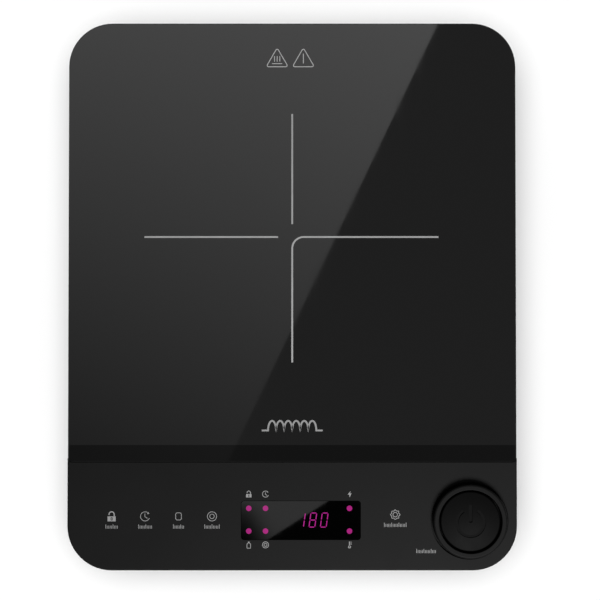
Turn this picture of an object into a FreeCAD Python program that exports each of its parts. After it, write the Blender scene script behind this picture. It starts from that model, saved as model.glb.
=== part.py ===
import FreeCAD, Part
import math
import os
import re

import Sketcher
from FreeCAD import Placement, Rotation, Vector

# Portable single-zone induction cooktop.
# Frame: +Z up, controls towards -Y, origin at the middle of the footprint on the surface that the
# feet stand on. Millimetres. Every size is in the Sizes sheet; the shapes are bound to its cells.

SIZES = {
    # housing outline and levels
    "case_width": 285,
    "case_length": 348,
    "corner_radius": 28,
    "case_base": 6,
    "parting_level": 30,
    "ledge_level": 47.4,
    "seal_thickness": 0.6,
    "glass_thickness": 4,
    "wall": 2.4,
    "shadow_step": 1,
    "bottom_round": 8,
    "deck_depth": 68.3,
    "glass_corner": 2.5,
    "glass_gap": 0.25,
    "glass_round": 0.5,
    "ledge_width": 21,
    "lip_height": 5,
    "lip_wall": 1.5,
    "lip_gap": 0.2,
    # cooking zone and coil
    "zone_offset": 37.4,
    "coil_inner": 24.5,
    "coil_pitch": 2.9,
    "coil_turns": 20,
    "strand_width": 2.4,
    "strand_height": 3,
    "former_level": 42,
    "former_plate": 2,
    "former_radius": 86,
    "hub_radius": 16,
    "hub_wall": 2,
    "ear_reach": 93,
    "ear_radius": 6,
    "bar_length": 50,
    "bar_width": 12,
    "bar_height": 4.5,
    "mica_radius": 85,
    "mica_thickness": 0.6,
    "post_level": 34,
    "post_radius": 4.5,
    # control deck
    "window_offset": 5.5,
    "window_front": 142.3,
    "window_width": 75.7,
    "window_length": 24.6,
    "window_corner": 2,
    "window_thickness": 1.5,
    "window_rim": 3,
    "board_level": 38.4,
    "board_thickness": 1.6,
    "digits_offset": 9.5,
    "digits_width": 30,
    "digits_length": 14,
    "digits_height": 7.2,
    "led_radius": 1.8,
    "led_column_left": -27.5,
    "led_column_mid": -16.9,
    "led_column_right": 36.3,
    "led_row_rear": -134.7,
    "led_row_front": -149.1,
    "key_row": -140,
    "key_radius": 4,
    # dial and power button
    "dial_x": 112.4,
    "dial_y": -142.5,
    "dial_radius": 23.4,
    "dial_bore": 19.9,
    "dial_rise": 7.5,
    "dial_gap": 1.2,
    "dial_flange": 25.6,
    "dial_collar": 16.2,
    "collar_level": 47.2,
    "key_width": 5,
    "button_radius": 18.9,
    "button_crown": 1.4,
    "button_drop": 0.5,
    "button_skirt": 11.2,
    "button_stem": 2.5,
    "guide_bore": 11.5,
    "guide_radius": 13.3,
    "encoder_radius": 21.5,
    "encoder_bore": 13.6,
    "running_gap": 0.3,
    "icon_outer": 9.5,
    "icon_inner": 7.6,
    "icon_gap_angle": 30,
    "icon_depth": 0.7,
    "icon_shift": 0.7,
    "icon_bar": 1.1,
    "icon_bar_low": -0.5,
    "icon_bar_high": 10.7,
    # fan
    "fan_x": -84,
    "fan_y": -56,
    "fan_size": 80,
    "fan_height": 15,
    "fan_bore": 38,
    "fan_level": 14,
    "fan_hole_pitch": 71.5,
    "fan_hub": 17,
    "fan_blades": 7,
    # power electronics
    "pcb_left": -26,
    "pcb_right": 124,
    "pcb_front": -104,
    "pcb_rear": 60,
    "pcb_level": 14,
    "pcb_thickness": 1.6,
    "sink_left": -6,
    "sink_right": 84,
    "sink_front": -100,
    "sink_rear": -54,
    "sink_top": 43,
    "sink_base": 21,
    "sink_plate": 4,
    "fin_wall": 1.6,
    "fin_count": 9,
    # feet, screws and inlet
    "foot_x": 105,
    "foot_y": 138,
    "foot_radius": 9,
    "foot_recess": 1,
    "foot_neck": 3,
    "screw_radius": 1.5,
    "screw_head": 3.2,
    "boss_radius": 4,
    "boss_foot": 20,
    "gland_x": 100,
    "gland_level": 20.6,
    "gland_bore": 3.7,
    "gland_neck": 5.9,
    "gland_flange": 7.5,
    # components on the power board, by their middles
    "choke_x": 98,
    "choke_y": 30,
    "choke_inner": 8,
    "choke_outer": 14,
    "choke_lift": 2.6,
    "choke_height": 8,
    "choke_wire": 0.6,
    "fuse_x": 62,
    "fuse_y": 54,
    "fuse_length": 20,
    "fuse_radius": 2.6,
    "terminal_y": 8,
    "inner_terminal_x": 56,
    "outer_terminal_x": 72,
    "block_front": 104,
    "block_rear": 122,
    # panel board
    "board_left": -122,
    "board_right": 137,
    "board_front": -165,
    "board_rear": -119,
    "ribbon_x": -16,
    "ribbon_width": 12,
    # vents
    "vent_width": 3,
    "vent_pitch": 7,
    "vent_low": 17,
    "vent_high": 24.5,
    "side_vents": 12,
    "rear_vents": 9,
}

# Places of the eight screws that join the two halves of the case.
CASE_SCREWS = [
    (-124, 157),
    (0, 164),
    (124, 157),
    (-132, 25),
    (132, 25),
    (-130, -152),
    (76, -112),
    (133, -112),
]
BOARD_SCREWS = [(-116, -160), (-116, -124), (6, -124), (-10, -161), (58, -161), (58, -124)]
PCB_SCREWS = [(-21, -99), (119, -99), (-21, 55), (119, 55), (50, -20)]
COIL_EAR_ANGLES = [90, 210, 330]
TOUCH_KEYS = [-114.4, -93.2, -71.8, -50.8, 65.3]

doc = FreeCAD.newDocument("InductionCooktop")
sheet = doc.addObject("Spreadsheet::Sheet", "Sizes")
for row, (alias, size) in enumerate(SIZES.items(), 1):
    sheet.set(f"A{row}", alias)
    sheet.set(f"B{row}", str(size))
    sheet.setAlias(f"B{row}", alias)
doc.recompute()

nodes = []


# ---------------------------------------------------------------- expressions


def link(text):
    """An expression in which every sheet name has its sheet in front of it."""
    name = re.compile(r"[a-z_]+")
    return name.sub(lambda m: f"Sizes.{m[0]}" if m[0] in SIZES else m[0], str(text))


def value(text):
    """The number that an expression has now."""
    return float(sheet.evalExpression(link(text)))


def bind(target, prop, text):
    target.setExpression(prop, link(text))


DECK = "(ledge_level + seal_thickness + glass_thickness)"
GLASS_BASE = "(ledge_level + seal_thickness)"
DECK_UNDERSIDE = f"({DECK} - wall - 0.2)"
LEDGE_UNDERSIDE = "(ledge_level - wall)"
FLOOR = "(case_base + wall)"
HALF_WIDTH = "(case_width / 2)"
HALF_LENGTH = "(case_length / 2)"
GLASS_FRONT = f"(deck_depth - {HALF_LENGTH})"
BOARD_TOP = "(board_level + board_thickness)"
PCB_TOP = "(pcb_level + pcb_thickness)"
DIAL_TOP = f"({DECK} + dial_rise)"
BUTTON_TOP = f"({DIAL_TOP} - button_drop)"


def node(thing, label):
    """Marks an object as one sub-part, which is written to parts/LABEL.step."""
    thing.Label = label
    nodes.append(thing)
    return thing


# ---------------------------------------------------------------- sketches


def sketch_on(body, role, offset="0", at=("0", "0")):
    """A sketch on one of the body's origin planes, moved along and across the plane."""
    sketch = body.newObject("Sketcher::SketchObject", f"{body.Name}_sketch")
    plane = next(f for f in body.Origin.OriginFeatures if f.Role == role)
    sketch.AttachmentSupport = [(plane, "")]
    sketch.MapMode = "FlatFace"
    for axis, text in zip("xyz", (*at, offset)):
        bind(sketch, f"AttachmentOffset.Base.{axis}", text)
    return sketch


def measure(sketch, kind, *where, text):
    """A dimension whose value is an expression."""
    index = sketch.addConstraint(Sketcher.Constraint(kind, *where, value(text)))
    bind(sketch, f"Constraints[{index}]", text)


def pin(sketch, geometry, point, x, y):
    """Fixes a point at x, y from the sketch's origin."""
    for kind, text, axis in (("DistanceX", x, -2), ("DistanceY", y, -1)):
        if abs(value(text)) < 1e-9:
            on_axis = Sketcher.Constraint("PointOnObject", geometry, point, axis)
            sketch.addConstraint(on_axis)
        else:
            measure(sketch, kind, -1, 1, geometry, point, text=text)


def circle(sketch, x, y, radius):
    round_edge = Part.Circle(Vector(value(x), value(y), 0), Vector(0, 0, 1), value(radius))
    index = sketch.addGeometry(round_edge, False)
    pin(sketch, index, 3, x, y)
    measure(sketch, "Radius", index, text=radius)


def outline(sketch, corners):
    """A closed outline through corners (x, y) or (x, y, radius), with tangent arcs at radii."""
    count = len(corners)
    places = [Vector(value(c[0]), value(c[1]), 0) for c in corners]
    radii = [value(c[2]) if len(c) > 2 else 0 for c in corners]
    cuts = []
    for i, place in enumerate(places):
        into = (place - places[i - 1]).normalize()
        out = (places[(i + 1) % count] - place).normalize()
        turn = into.getAngle(out)
        reach = radii[i] * math.tan(turn / 2)
        cuts.append((place - into * reach, place + out * reach, into, out, turn))
    lines = []
    for i in range(count):
        edge = Part.LineSegment(cuts[i][1], cuts[(i + 1) % count][0])
        lines.append(sketch.addGeometry(edge, False))
    for i, corner in enumerate(corners):
        before, after = lines[i - 1], lines[i]
        if not radii[i]:
            sketch.addConstraint(Sketcher.Constraint("Coincident", before, 2, after, 1))
            pin(sketch, after, 1, corner[0], corner[1])
            continue
        start, end, into, out, turn = cuts[i]
        left = into.cross(out).z > 0
        side = 1 if left else -1
        inward = Vector(-into.y, into.x, 0) * side
        inward_after = Vector(-out.y, out.x, 0) * side
        centre = start + inward * radii[i]
        middle = centre - (inward + inward_after).normalize() * radii[i]
        arc = sketch.addGeometry(Part.Arc(start, middle, end), False)
        first, last = (1, 2) if left else (2, 1)
        sketch.addConstraint(Sketcher.Constraint("Tangent", before, 2, arc, first))
        sketch.addConstraint(Sketcher.Constraint("Tangent", arc, last, after, 1))
        measure(sketch, "Radius", arc, text=corner[2])
        point = sketch.addGeometry(Part.Point(places[i]), True)
        pin(sketch, point, 1, corner[0], corner[1])
        sketch.addConstraint(Sketcher.Constraint("PointOnObject", point, 1, before))
        sketch.addConstraint(Sketcher.Constraint("PointOnObject", point, 1, after))


def rectangle(sketch, left, front, right, rear, radius="0"):
    corners = [(left, front), (right, front), (right, rear), (left, rear)]
    if value(radius):
        corners = [(*corner, radius) for corner in corners]
    outline(sketch, corners)


def sector(sketch, inner, outer, start, end):
    """A piece of a ring about the sketch's origin, between two angles in degrees."""
    angles = [math.radians(value(start)), math.radians(value(end))]
    rays = [Vector(math.cos(a), math.sin(a), 0) for a in angles]
    middle = Vector(math.cos(sum(angles) / 2), math.sin(sum(angles) / 2), 0)
    arcs = []
    for radius in (inner, outer):
        size = value(radius)
        arc = Part.Arc(rays[0] * size, middle * size, rays[1] * size)
        arcs.append(sketch.addGeometry(arc, False))
        sketch.addConstraint(Sketcher.Constraint("Coincident", arcs[-1], 3, -1, 1))
        measure(sketch, "Radius", arcs[-1], text=radius)
    for end_point, ray, text in ((1, rays[0], start), (2, rays[1], end)):
        edge = Part.LineSegment(ray * value(inner), ray * value(outer))
        line = sketch.addGeometry(edge, False)
        sketch.addConstraint(Sketcher.Constraint("Coincident", line, 1, arcs[0], end_point))
        sketch.addConstraint(Sketcher.Constraint("Coincident", line, 2, arcs[1], end_point))
        reach_x, reach_y = f"({outer}) * cos({text})", f"({outer}) * sin({text})"
        if abs(value(reach_x)) > abs(value(reach_y)):
            measure(sketch, "DistanceY", -1, 1, line, 2, text=reach_y)
        else:
            measure(sketch, "DistanceX", -1, 1, line, 2, text=reach_x)
        sketch.addConstraint(Sketcher.Constraint("PointOnObject", -1, 1, line))


# ---------------------------------------------------------------- features


def new_body(label):
    return node(doc.addObject("PartDesign::Body", label), label)


def extrude(body, kind, sketch, length, up):
    """A Pad or Pocket of that length, towards the sketch's normal or away from it."""
    feature = body.newObject(f"PartDesign::{kind}", f"{body.Name}_{kind.lower()}")
    feature.Profile = sketch
    bind(feature, "Length", length)
    feature.Reversed = up != (kind == "Pad")
    sketch.Visibility = False
    return feature


def pad(body, sketch, length, up=True):
    return extrude(body, "Pad", sketch, length, up)


def pocket(body, sketch, length, up=False):
    """A pocket, which has to take material away."""
    doc.recompute()
    before = body.Shape.Volume
    feature = extrude(body, "Pocket", sketch, length, up)
    doc.recompute()
    if not feature.Shape.Volume < before - 1e-6:
        raise RuntimeError(f"{feature.Name} cuts nothing")
    return feature


def revolve(body, sketch, axis="V_Axis"):
    feature = body.newObject("PartDesign::Revolution", f"{body.Name}_revolution")
    feature.Profile = sketch
    feature.ReferenceAxis = (sketch, [axis])
    feature.Angle = 360
    return feature


def polar(body, feature, sketch, count):
    pattern = body.newObject("PartDesign::PolarPattern", f"{body.Name}_polar")
    pattern.Originals = [feature]
    pattern.Axis = (sketch, ["N_Axis"])
    pattern.Angle = 360
    bind(pattern, "Occurrences", count)
    body.Tip = pattern
    return pattern


def linear(body, feature, sketch, axis, length, count):
    pattern = body.newObject("PartDesign::LinearPattern", f"{body.Name}_linear")
    pattern.Originals = [feature]
    pattern.Direction = (sketch, [axis])
    bind(pattern, "Length", length)
    bind(pattern, "Occurrences", count)
    body.Tip = pattern
    return pattern


def dress(body, kind, feature, test, size):
    """A Fillet or Chamfer on the edges of a feature that pass the test."""
    doc.recompute()
    edges = [f"Edge{i}" for i, e in enumerate(feature.Shape.Edges, 1) if test(e.BoundBox)]
    if not edges:
        raise RuntimeError(f"{body.Name} has no edge to {kind.lower()}")
    finish = body.newObject(f"PartDesign::{kind}", f"{body.Name}_{kind.lower()}")
    finish.Base = (feature, edges)
    bind(finish, "Radius" if kind == "Fillet" else "Size", size)
    return finish


def at_level(text):
    """A test for edges that lie flat at a height."""
    level = value(text)
    return lambda box: abs(box.ZMin - level) < 1e-4 and abs(box.ZMax - level) < 1e-4


def place(thing, x="0", y="0", z="0"):
    for axis, text in zip("xyz", (x, y, z)):
        bind(thing, f"Placement.Base.{axis}", text)
    return thing


def block(name, low, high):
    """A box between two corners, each of three expressions."""
    box = doc.addObject("Part::Box", name)
    for prop, a, b in zip(("Length", "Width", "Height"), low, high):
        bind(box, prop, f"({b}) - ({a})")
    return place(box, *low)


def rod(name, x, y, z, radius, length, along="z"):
    """A cylinder that starts at x, y, z and runs along an axis."""
    cylinder = doc.addObject("Part::Cylinder", name)
    turns = {"x": Rotation(Vector(0, 1, 0), 90), "y": Rotation(Vector(1, 0, 0), -90)}
    cylinder.Placement = Placement(Vector(), turns.get(along, Rotation()))
    bind(cylinder, "Radius", radius)
    bind(cylinder, "Height", length)
    return place(cylinder, x, y, z)


def fuse(name, *things):
    joined = doc.addObject("Part::MultiFuse", name)
    joined.Shapes = list(things)
    return joined


def cut(name, base, *tools):
    tool = tools[0] if len(tools) == 1 else fuse(f"{name}_tools", *tools)
    result = doc.addObject("Part::Cut", name)
    result.Base, result.Tool = base, tool
    return result


def rounded(name, base, radius, test):
    """A Part fillet on the edges that pass the test."""
    doc.recompute()
    result = doc.addObject("Part::Fillet", name)
    result.Base = base
    chosen = [i for i, e in enumerate(base.Shape.Edges, 1) if test(e.BoundBox)]
    result.Edges = [(i, radius, radius) for i in chosen]
    return result


def upright(box):
    return box.ZLength > 1 and box.XLength < 1e-6 and box.YLength < 1e-6


def group(label, things):
    """Separate solids of one kind, in one node."""
    together = doc.addObject("Part::Compound", label)
    together.Links = list(things)
    return node(together, label)


def solid(label, shape):
    """A sub-part whose shape is made by Part's own functions."""
    feature = doc.addObject("Part::Feature", label)
    feature.Shape = shape
    return node(feature, label)


# ---------------------------------------------------------------- fasteners, springs and wires


def screw(name, x, y, seat, length, head, upward=False):
    """A pan-head screw with a cross recess. Its head sits on the level seat, its shank goes down or up."""
    body = doc.addObject("PartDesign::Body", name)
    profile = sketch_on(body, "XZ_Plane")
    outline(
        profile,
        [
            ("0", f"-({length})"),
            ("screw_radius * 0.6", f"-({length})"),
            ("screw_radius", f"screw_radius - ({length})"),
            ("screw_radius", "0"),
            ("screw_head", "0"),
            ("screw_head", f"({head}) * 0.6"),
            ("screw_head * 0.7", head),
            ("0", head),
        ],
    )
    revolve(body, profile)
    cross = sketch_on(body, "XY_Plane", head)
    arm, half = "screw_head * 0.62", "0.45"
    corners = []
    for sx, sy in ((1, 1), (-1, 1), (-1, -1), (1, -1)):
        along_x = (f"{sx} * {arm}", f"{sy} * {half}")
        knee = (f"{sx} * {half}", f"{sy} * {half}")
        along_y = (f"{sx} * {half}", f"{sy} * {arm}")
        turn = [along_x, knee, along_y]
        corners += turn if sx == sy else turn[::-1]
    outline(cross, corners)
    pocket(body, cross, f"({head}) * 0.6")
    if upward:
        body.Placement = Placement(Vector(), Rotation(Vector(1, 0, 0), 180))
    return place(body, x, y, seat)


def screws(label, places, seat, length, head="2", upward=False):
    """A group of equal screws."""
    made = []
    for i, (x, y) in enumerate(places, 1):
        made.append(screw(f"{label}_{i}", x, y, seat, length, head, upward=upward))
    return group(label, made)


def spring_shape(radius, wire, height, turns):
    """A round wire wound about +Z from z = 0 to the height, in half turns that tilt to and fro."""
    rise = (height - 2 * wire) / (2 * turns)
    arcs = []
    for half_turn in range(2 * turns):
        side = 1 if half_turn % 2 == 0 else -1
        low = wire + rise * half_turn
        start = Vector(side * radius, 0, low)
        middle = Vector(0, side * math.hypot(radius, rise / 2), low + rise / 2)
        end = Vector(-side * radius, 0, low + rise)
        arcs.append(Part.Arc(start, middle, end).toShape())
    section = Part.Wire(Part.makeCircle(wire, Vector(radius, 0, wire), Vector(0, 1, 0)))
    return Part.Wire(arcs).makePipe(Part.Face(section))


def route(points):
    """Straight runs through points, joined by tangent arcs as large as the runs allow."""
    edges, last = [], points[0]
    for before, corner, after in zip(points, points[1:], points[2:]):
        into, out = (corner - before), (after - corner)
        reach = 0.45 * min(into.Length, out.Length)
        start = corner - into.normalize() * reach
        end = corner + out.normalize() * reach
        half = (out - into).normalize()
        radius = reach / math.tan(into.getAngle(out) / 2)
        centre = corner + half * math.hypot(reach, radius)
        middle = centre - half * radius
        edges += [Part.LineSegment(last, start).toShape(), Part.Arc(start, middle, end).toShape()]
        last = end
    edges.append(Part.LineSegment(last, points[-1]).toShape())
    return Part.Wire(edges)


def wire_shape(points, radius):
    """A round lead along a route. Its volume has to be its section times its length."""
    path = route([Vector(*p) for p in points])
    start = path.Edges[0]
    end, heading = start.valueAt(start.FirstParameter), start.tangentAt(start.FirstParameter)
    section = Part.Wire(Part.makeCircle(radius, end, heading))
    shape = path.makePipeShell([section], True, True)
    expected = math.pi * radius**2 * path.Length
    if abs(shape.Volume - expected) > 0.02 * expected:
        raise RuntimeError("a lead has the wrong volume")
    return shape


# ---------------------------------------------------------------- housing


def case_outline(sketch, inset):
    """The case's rounded outline, moved inwards."""
    x, y = f"({HALF_WIDTH} - ({inset}))", f"({HALF_LENGTH} - ({inset}))"
    rectangle(sketch, f"-{x}", f"-{y}", x, y, f"corner_radius - ({inset})")


def circles(body, level, places, radius):
    """A sketch of equal circles at a level."""
    sketch = sketch_on(body, "XY_Plane", level)
    for x, y in places:
        circle(sketch, x, y, radius)
    return sketch


def bosses(body, places, level, radius, height, hole, depth, up=True):
    """Round posts from a level, with blind holes in their free ends."""
    pad(body, circles(body, level, places, radius), height, up)
    free_end = f"({level}) {'+' if up else '-'} ({height})"
    pocket(body, circles(body, free_end, places, hole), depth, not up)


def vents(body, role, offset, start, count, up):
    """A row of upright slots through a wall, along the sketch's horizontal axis."""
    row = sketch_on(body, role, offset, at=(start, "0"))
    half = "(vent_width / 2)"
    rectangle(row, f"-{half}", "vent_low - 2", half, "vent_high + 2", f"{half} - 0.01")
    first = pocket(body, row, "8", up)
    linear(body, first, row, "H_Axis", f"vent_pitch * ({count} - 1)", count)


def bottom_case():
    body = new_body("bottom_case")
    shell = sketch_on(body, "XY_Plane", "case_base")
    case_outline(shell, "shadow_step")
    box = pad(body, shell, "parting_level - case_base")
    soft = dress(body, "Fillet", box, at_level("case_base"), "bottom_round")
    doc.recompute()
    opened = value("parting_level") - 1e-4
    top = [f"Face{i}" for i, face in enumerate(soft.Shape.Faces, 1) if face.BoundBox.ZMin > opened]
    hollow = body.newObject("PartDesign::Thickness", "bottom_case_thickness")
    hollow.Base = (soft, top)
    hollow.Reversed = True
    bind(hollow, "Value", "wall")

    lip = sketch_on(body, "XY_Plane", "parting_level - 2")
    case_outline(lip, "wall + lip_gap")
    case_outline(lip, "wall + lip_gap + lip_wall")
    pad(body, lip, "lip_height")

    # posts for the case screws, the power board, the fan and the coil
    rooted = f"{FLOOR} - 0.5"
    pad(body, circles(body, rooted, CASE_SCREWS, "boss_radius + 1.2"), f"boss_foot - ({rooted})")
    pad(body, circles(body, rooted, PCB_SCREWS + fan_holes(), "boss_radius - 0.5"), f"pcb_level - ({rooted})")
    pad(body, circles(body, rooted, coil_ears(), "post_radius"), f"post_level - ({rooted})")
    thread = "screw_radius + 0.05"
    pocket(body, circles(body, "pcb_level", PCB_SCREWS + fan_holes(), thread), "5")
    pocket(body, circles(body, "post_level", coil_ears(), thread), "12")
    pocket(body, circles(body, "case_base", CASE_SCREWS, "boss_radius - 0.1"), "6", up=True)
    pocket(body, circles(body, "case_base", CASE_SCREWS, "screw_radius + 0.2"), "boss_foot", up=True)

    # wells and holes for the feet
    feet_at = [(x, y) for x in ("-foot_x", "foot_x") for y in ("-foot_y", "foot_y")]
    pocket(body, circles(body, "case_base", feet_at, "foot_radius + 0.2"), "foot_recess", up=True)
    pocket(body, circles(body, "case_base", feet_at, "foot_neck"), "wall", up=True)

    # inlet hole for the mains cord's gland
    inlet = sketch_on(body, "XZ_Plane", f"-{HALF_LENGTH} - 2")
    circle(inlet, "gland_x", "gland_level", "gland_neck + 0.1")
    pocket(body, inlet, "8", up=True)

    # air inlet below the fan: rings of slots between four spokes
    grille = sketch_on(body, "XY_Plane", "case_base", at=("fan_x", "fan_y"))
    for ring in range(5):
        inner = 9 + 6 * ring
        spoke = math.degrees(math.asin(1.8 / inner))
        sector(grille, str(inner), f"{inner} + vent_width", f"{spoke:.2f}", f"{90 - spoke:.2f}")
    first = pocket(body, grille, "wall", up=True)
    polar(body, first, grille, "4")

    # air outlets in both side walls and the rear wall
    vents(body, "YZ_Plane", f"{HALF_WIDTH} + 2", f"{GLASS_FRONT} + 22", "side_vents", False)
    vents(body, "YZ_Plane", f"-{HALF_WIDTH} - 2", f"{GLASS_FRONT} + 22", "side_vents", True)
    vents(body, "XZ_Plane", f"-{HALF_LENGTH} - 2", "-62", "rear_vents", True)


def fan_holes():
    """The fan's four screw places."""
    half = "fan_hole_pitch / 2"
    return [(f"fan_x {a} {half}", f"fan_y {b} {half}") for a in "-+" for b in "-+"]


def coil_ears():
    """The three places where the coil former is held."""
    return [(f"ear_reach * cos({a})", f"zone_offset + ear_reach * sin({a})") for a in COIL_EAR_ANGLES]


def glass_outline(sketch, gap):
    """The glass plate's outline: large rear corners and small front corners."""
    x, rear, front = f"({HALF_WIDTH} - ({gap}))", f"({HALF_LENGTH} - ({gap}))", f"({GLASS_FRONT} + ({gap}))"
    outline(
        sketch,
        [
            (f"-{x}", front, "glass_corner"),
            (x, front, "glass_corner"),
            (x, rear, f"corner_radius - ({gap})"),
            (f"-{x}", rear, f"corner_radius - ({gap})"),
        ],
    )


def top_frame():
    body = new_body("top_frame")
    rim = sketch_on(body, "XY_Plane", "parting_level")
    case_outline(rim, "0")
    block_up = pad(body, rim, f"{DECK} - parting_level")
    soft = dress(body, "Fillet", block_up, at_level(DECK), "0.8")
    dress(body, "Chamfer", soft, at_level("parting_level"), "0.6")

    seat = sketch_on(body, "XY_Plane", DECK)
    glass_outline(seat, "0")
    pocket(body, seat, f"{DECK} - ledge_level")

    # hollow under the ledge and the deeper hollow under the control deck
    inside = sketch_on(body, "XY_Plane", "parting_level")
    case_outline(inside, "wall")
    pocket(body, inside, f"{LEDGE_UNDERSIDE} - parting_level", up=True)
    under_deck = sketch_on(body, "XY_Plane", "parting_level")
    x, front = f"({HALF_WIDTH} - wall)", f"(wall - {HALF_LENGTH})"
    outline(
        under_deck,
        [
            (f"-{x}", front, "corner_radius - wall"),
            (x, front, "corner_radius - wall"),
            (x, f"{GLASS_FRONT} - wall", "2"),
            (f"-{x}", f"{GLASS_FRONT} - wall", "2"),
        ],
    )
    pocket(body, under_deck, f"{DECK_UNDERSIDE} - parting_level", up=True)

    opening = sketch_on(body, "XY_Plane", "ledge_level")
    x, rear = f"({HALF_WIDTH} - ledge_width)", f"({HALF_LENGTH} - ledge_width)"
    rectangle(opening, f"-{x}", f"{GLASS_FRONT} + ledge_width", x, rear, "ledge_width")
    pocket(body, opening, "wall + 1")

    # display window: a seat for the lens and a hole for the light
    for grow, depth in (("0.15", "window_thickness"), ("-window_rim", "wall + 1")):
        hole = sketch_on(body, "XY_Plane", DECK)
        window_outline(hole, grow)
        pocket(body, hole, depth)
    dial_hole = sketch_on(body, "XY_Plane", DECK)
    circle(dial_hole, "dial_x", "dial_y", "dial_radius + dial_gap")
    pocket(body, dial_hole, "wall + 1")

    # posts that the case screws and the display board's screws go into
    thread = "screw_radius + 0.05"
    front = value(GLASS_FRONT)
    for roof, places in (
        (LEDGE_UNDERSIDE, [(x, y) for x, y in CASE_SCREWS if y > front]),
        (DECK_UNDERSIDE, [(x, y) for x, y in CASE_SCREWS if y < front]),
    ):
        rooted = f"{roof} + 0.5"
        bosses(body, places, rooted, "boss_radius", f"{rooted} - boss_foot", thread, "14", False)
    rooted = f"{DECK_UNDERSIDE} + 0.5"
    bosses(body, BOARD_SCREWS, rooted, "boss_radius - 1", f"{rooted} - {BOARD_TOP}", thread, "7", False)


def window_outline(sketch, grow):
    x, y = f"(window_width / 2 + ({grow}))", f"(window_length / 2 + ({grow}))"
    corners = (f"window_offset - {x}", f"-window_front - {y}", f"window_offset + {x}", f"-window_front + {y}")
    rectangle(sketch, *corners, "window_corner")


def glass_plate():
    body = new_body("glass_plate")
    plate = sketch_on(body, "XY_Plane", GLASS_BASE)
    glass_outline(plate, "glass_gap")
    slab = pad(body, plate, "glass_thickness")
    soft = dress(body, "Fillet", slab, at_level(DECK), "glass_round")
    dress(body, "Chamfer", soft, at_level(GLASS_BASE), "0.4")


def glass_seal():
    body = new_body("glass_seal")
    bead = sketch_on(body, "XY_Plane", "ledge_level")
    glass_outline(bead, "1.6")
    x, rear = f"({HALF_WIDTH} - ledge_width + 3)", f"({HALF_LENGTH} - ledge_width + 3)"
    rectangle(bead, f"-{x}", f"{GLASS_FRONT} + ledge_width - 3", x, rear, "ledge_width - 3")
    pad(body, bead, "seal_thickness")


def display_window():
    body = new_body("display_window")
    lens = sketch_on(body, "XY_Plane", f"{DECK} - window_thickness")
    window_outline(lens, "0")
    pane = pad(body, lens, "window_thickness")
    dress(body, "Chamfer", pane, at_level(DECK), "0.15")


def foot(label, x, y):
    body = new_body(label)
    profile = sketch_on(body, "XZ_Plane")
    top = "(case_base + foot_recess)"
    outline(
        profile,
        [
            ("0", "0"),
            ("foot_radius - 1.6", "0", "0.8"),
            ("foot_radius", f"{top} * 0.55", "2"),
            ("foot_radius", top),
            ("foot_neck - 0.1", top),
            ("foot_neck - 0.1", FLOOR),
            ("foot_neck + 0.7", FLOOR),
            ("foot_neck - 0.6", f"{FLOOR} + 2.4"),
            ("0", f"{FLOOR} + 2.4"),
        ],
    )
    revolve(body, profile)
    place(body, x, y)


def feet():
    for side, x in (("left", "-foot_x"), ("right", "foot_x")):
        for end, y in (("front", "-foot_y"), ("rear", "foot_y")):
            foot(f"foot_{end}_{side}", x, y)


def rating_plate():
    body = new_body("rating_plate")
    plate = sketch_on(body, "XY_Plane", "case_base")
    rectangle(plate, "20", "40", "110", "85", "3")
    pad(body, plate, "0.3", up=False)


def cord_gland():
    body = new_body("cord_gland")
    profile = sketch_on(body, "XY_Plane")
    wall_outer = f"({HALF_LENGTH} - shadow_step)"
    wall_inner = f"({HALF_LENGTH} - shadow_step - wall)"
    outline(
        profile,
        [
            ("gland_bore", f"{wall_inner} - 9"),
            ("gland_neck - 0.6", f"{wall_inner} - 9"),
            ("gland_neck", f"{wall_inner} - 2"),
            ("gland_flange - 0.3", f"{wall_inner} - 2"),
            ("gland_flange - 0.3", wall_inner),
            ("gland_neck", wall_inner),
            ("gland_neck", wall_outer),
            ("gland_flange", wall_outer),
            ("gland_flange", HALF_LENGTH, "0.6"),
            ("gland_bore", HALF_LENGTH),
        ],
    )
    revolve(body, profile)
    place(body, "gland_x", "0", "gland_level")


def terminal_block():
    low = ("gland_x - 16", "block_front", FLOOR)
    high = ("gland_x + 16", "block_rear", f"{FLOOR} + 13")
    base = block("terminal_block_base", low, high)
    tools = []
    for i in range(3):
        x = f"gland_x + {10 * (i - 1)}"
        middle = "(block_front + block_rear) / 2"
        tools.append(rod(f"terminal_well_{i}", x, middle, f"{FLOOR} + 7", "3", "8"))
        tools.append(rod(f"terminal_entry_{i}", x, "block_front - 2", f"{FLOOR} + 4", "1.7", "22", "y"))
    node(cut("terminal_block", base, *tools), "terminal_block")


# ---------------------------------------------------------------- dial and power button


def dial_ring():
    body = new_body("dial_ring")
    profile = sketch_on(body, "XZ_Plane")
    flange_top = f"({DECK_UNDERSIDE} - 0.5)"
    outline(
        profile,
        [
            ("dial_bore", DIAL_TOP, "0.4"),
            ("dial_bore", f"{flange_top} + 0.1"),
            ("dial_collar", f"{flange_top} + 0.1"),
            ("dial_collar", "collar_level"),
            ("dial_flange", "collar_level"),
            ("dial_flange", flange_top),
            ("dial_radius", flange_top),
            ("dial_radius", DIAL_TOP, "1.2"),
        ],
    )
    revolve(body, profile)
    notch = sketch_on(body, "XY_Plane", "collar_level")
    half = "(key_width / 2 + 0.15)"
    rectangle(notch, "dial_collar - 1", f"-{half}", "dial_bore - 0.4", half)
    first = pocket(body, notch, "1.5", up=True)
    polar(body, first, notch, "3")
    place(body, "dial_x", "dial_y")


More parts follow.
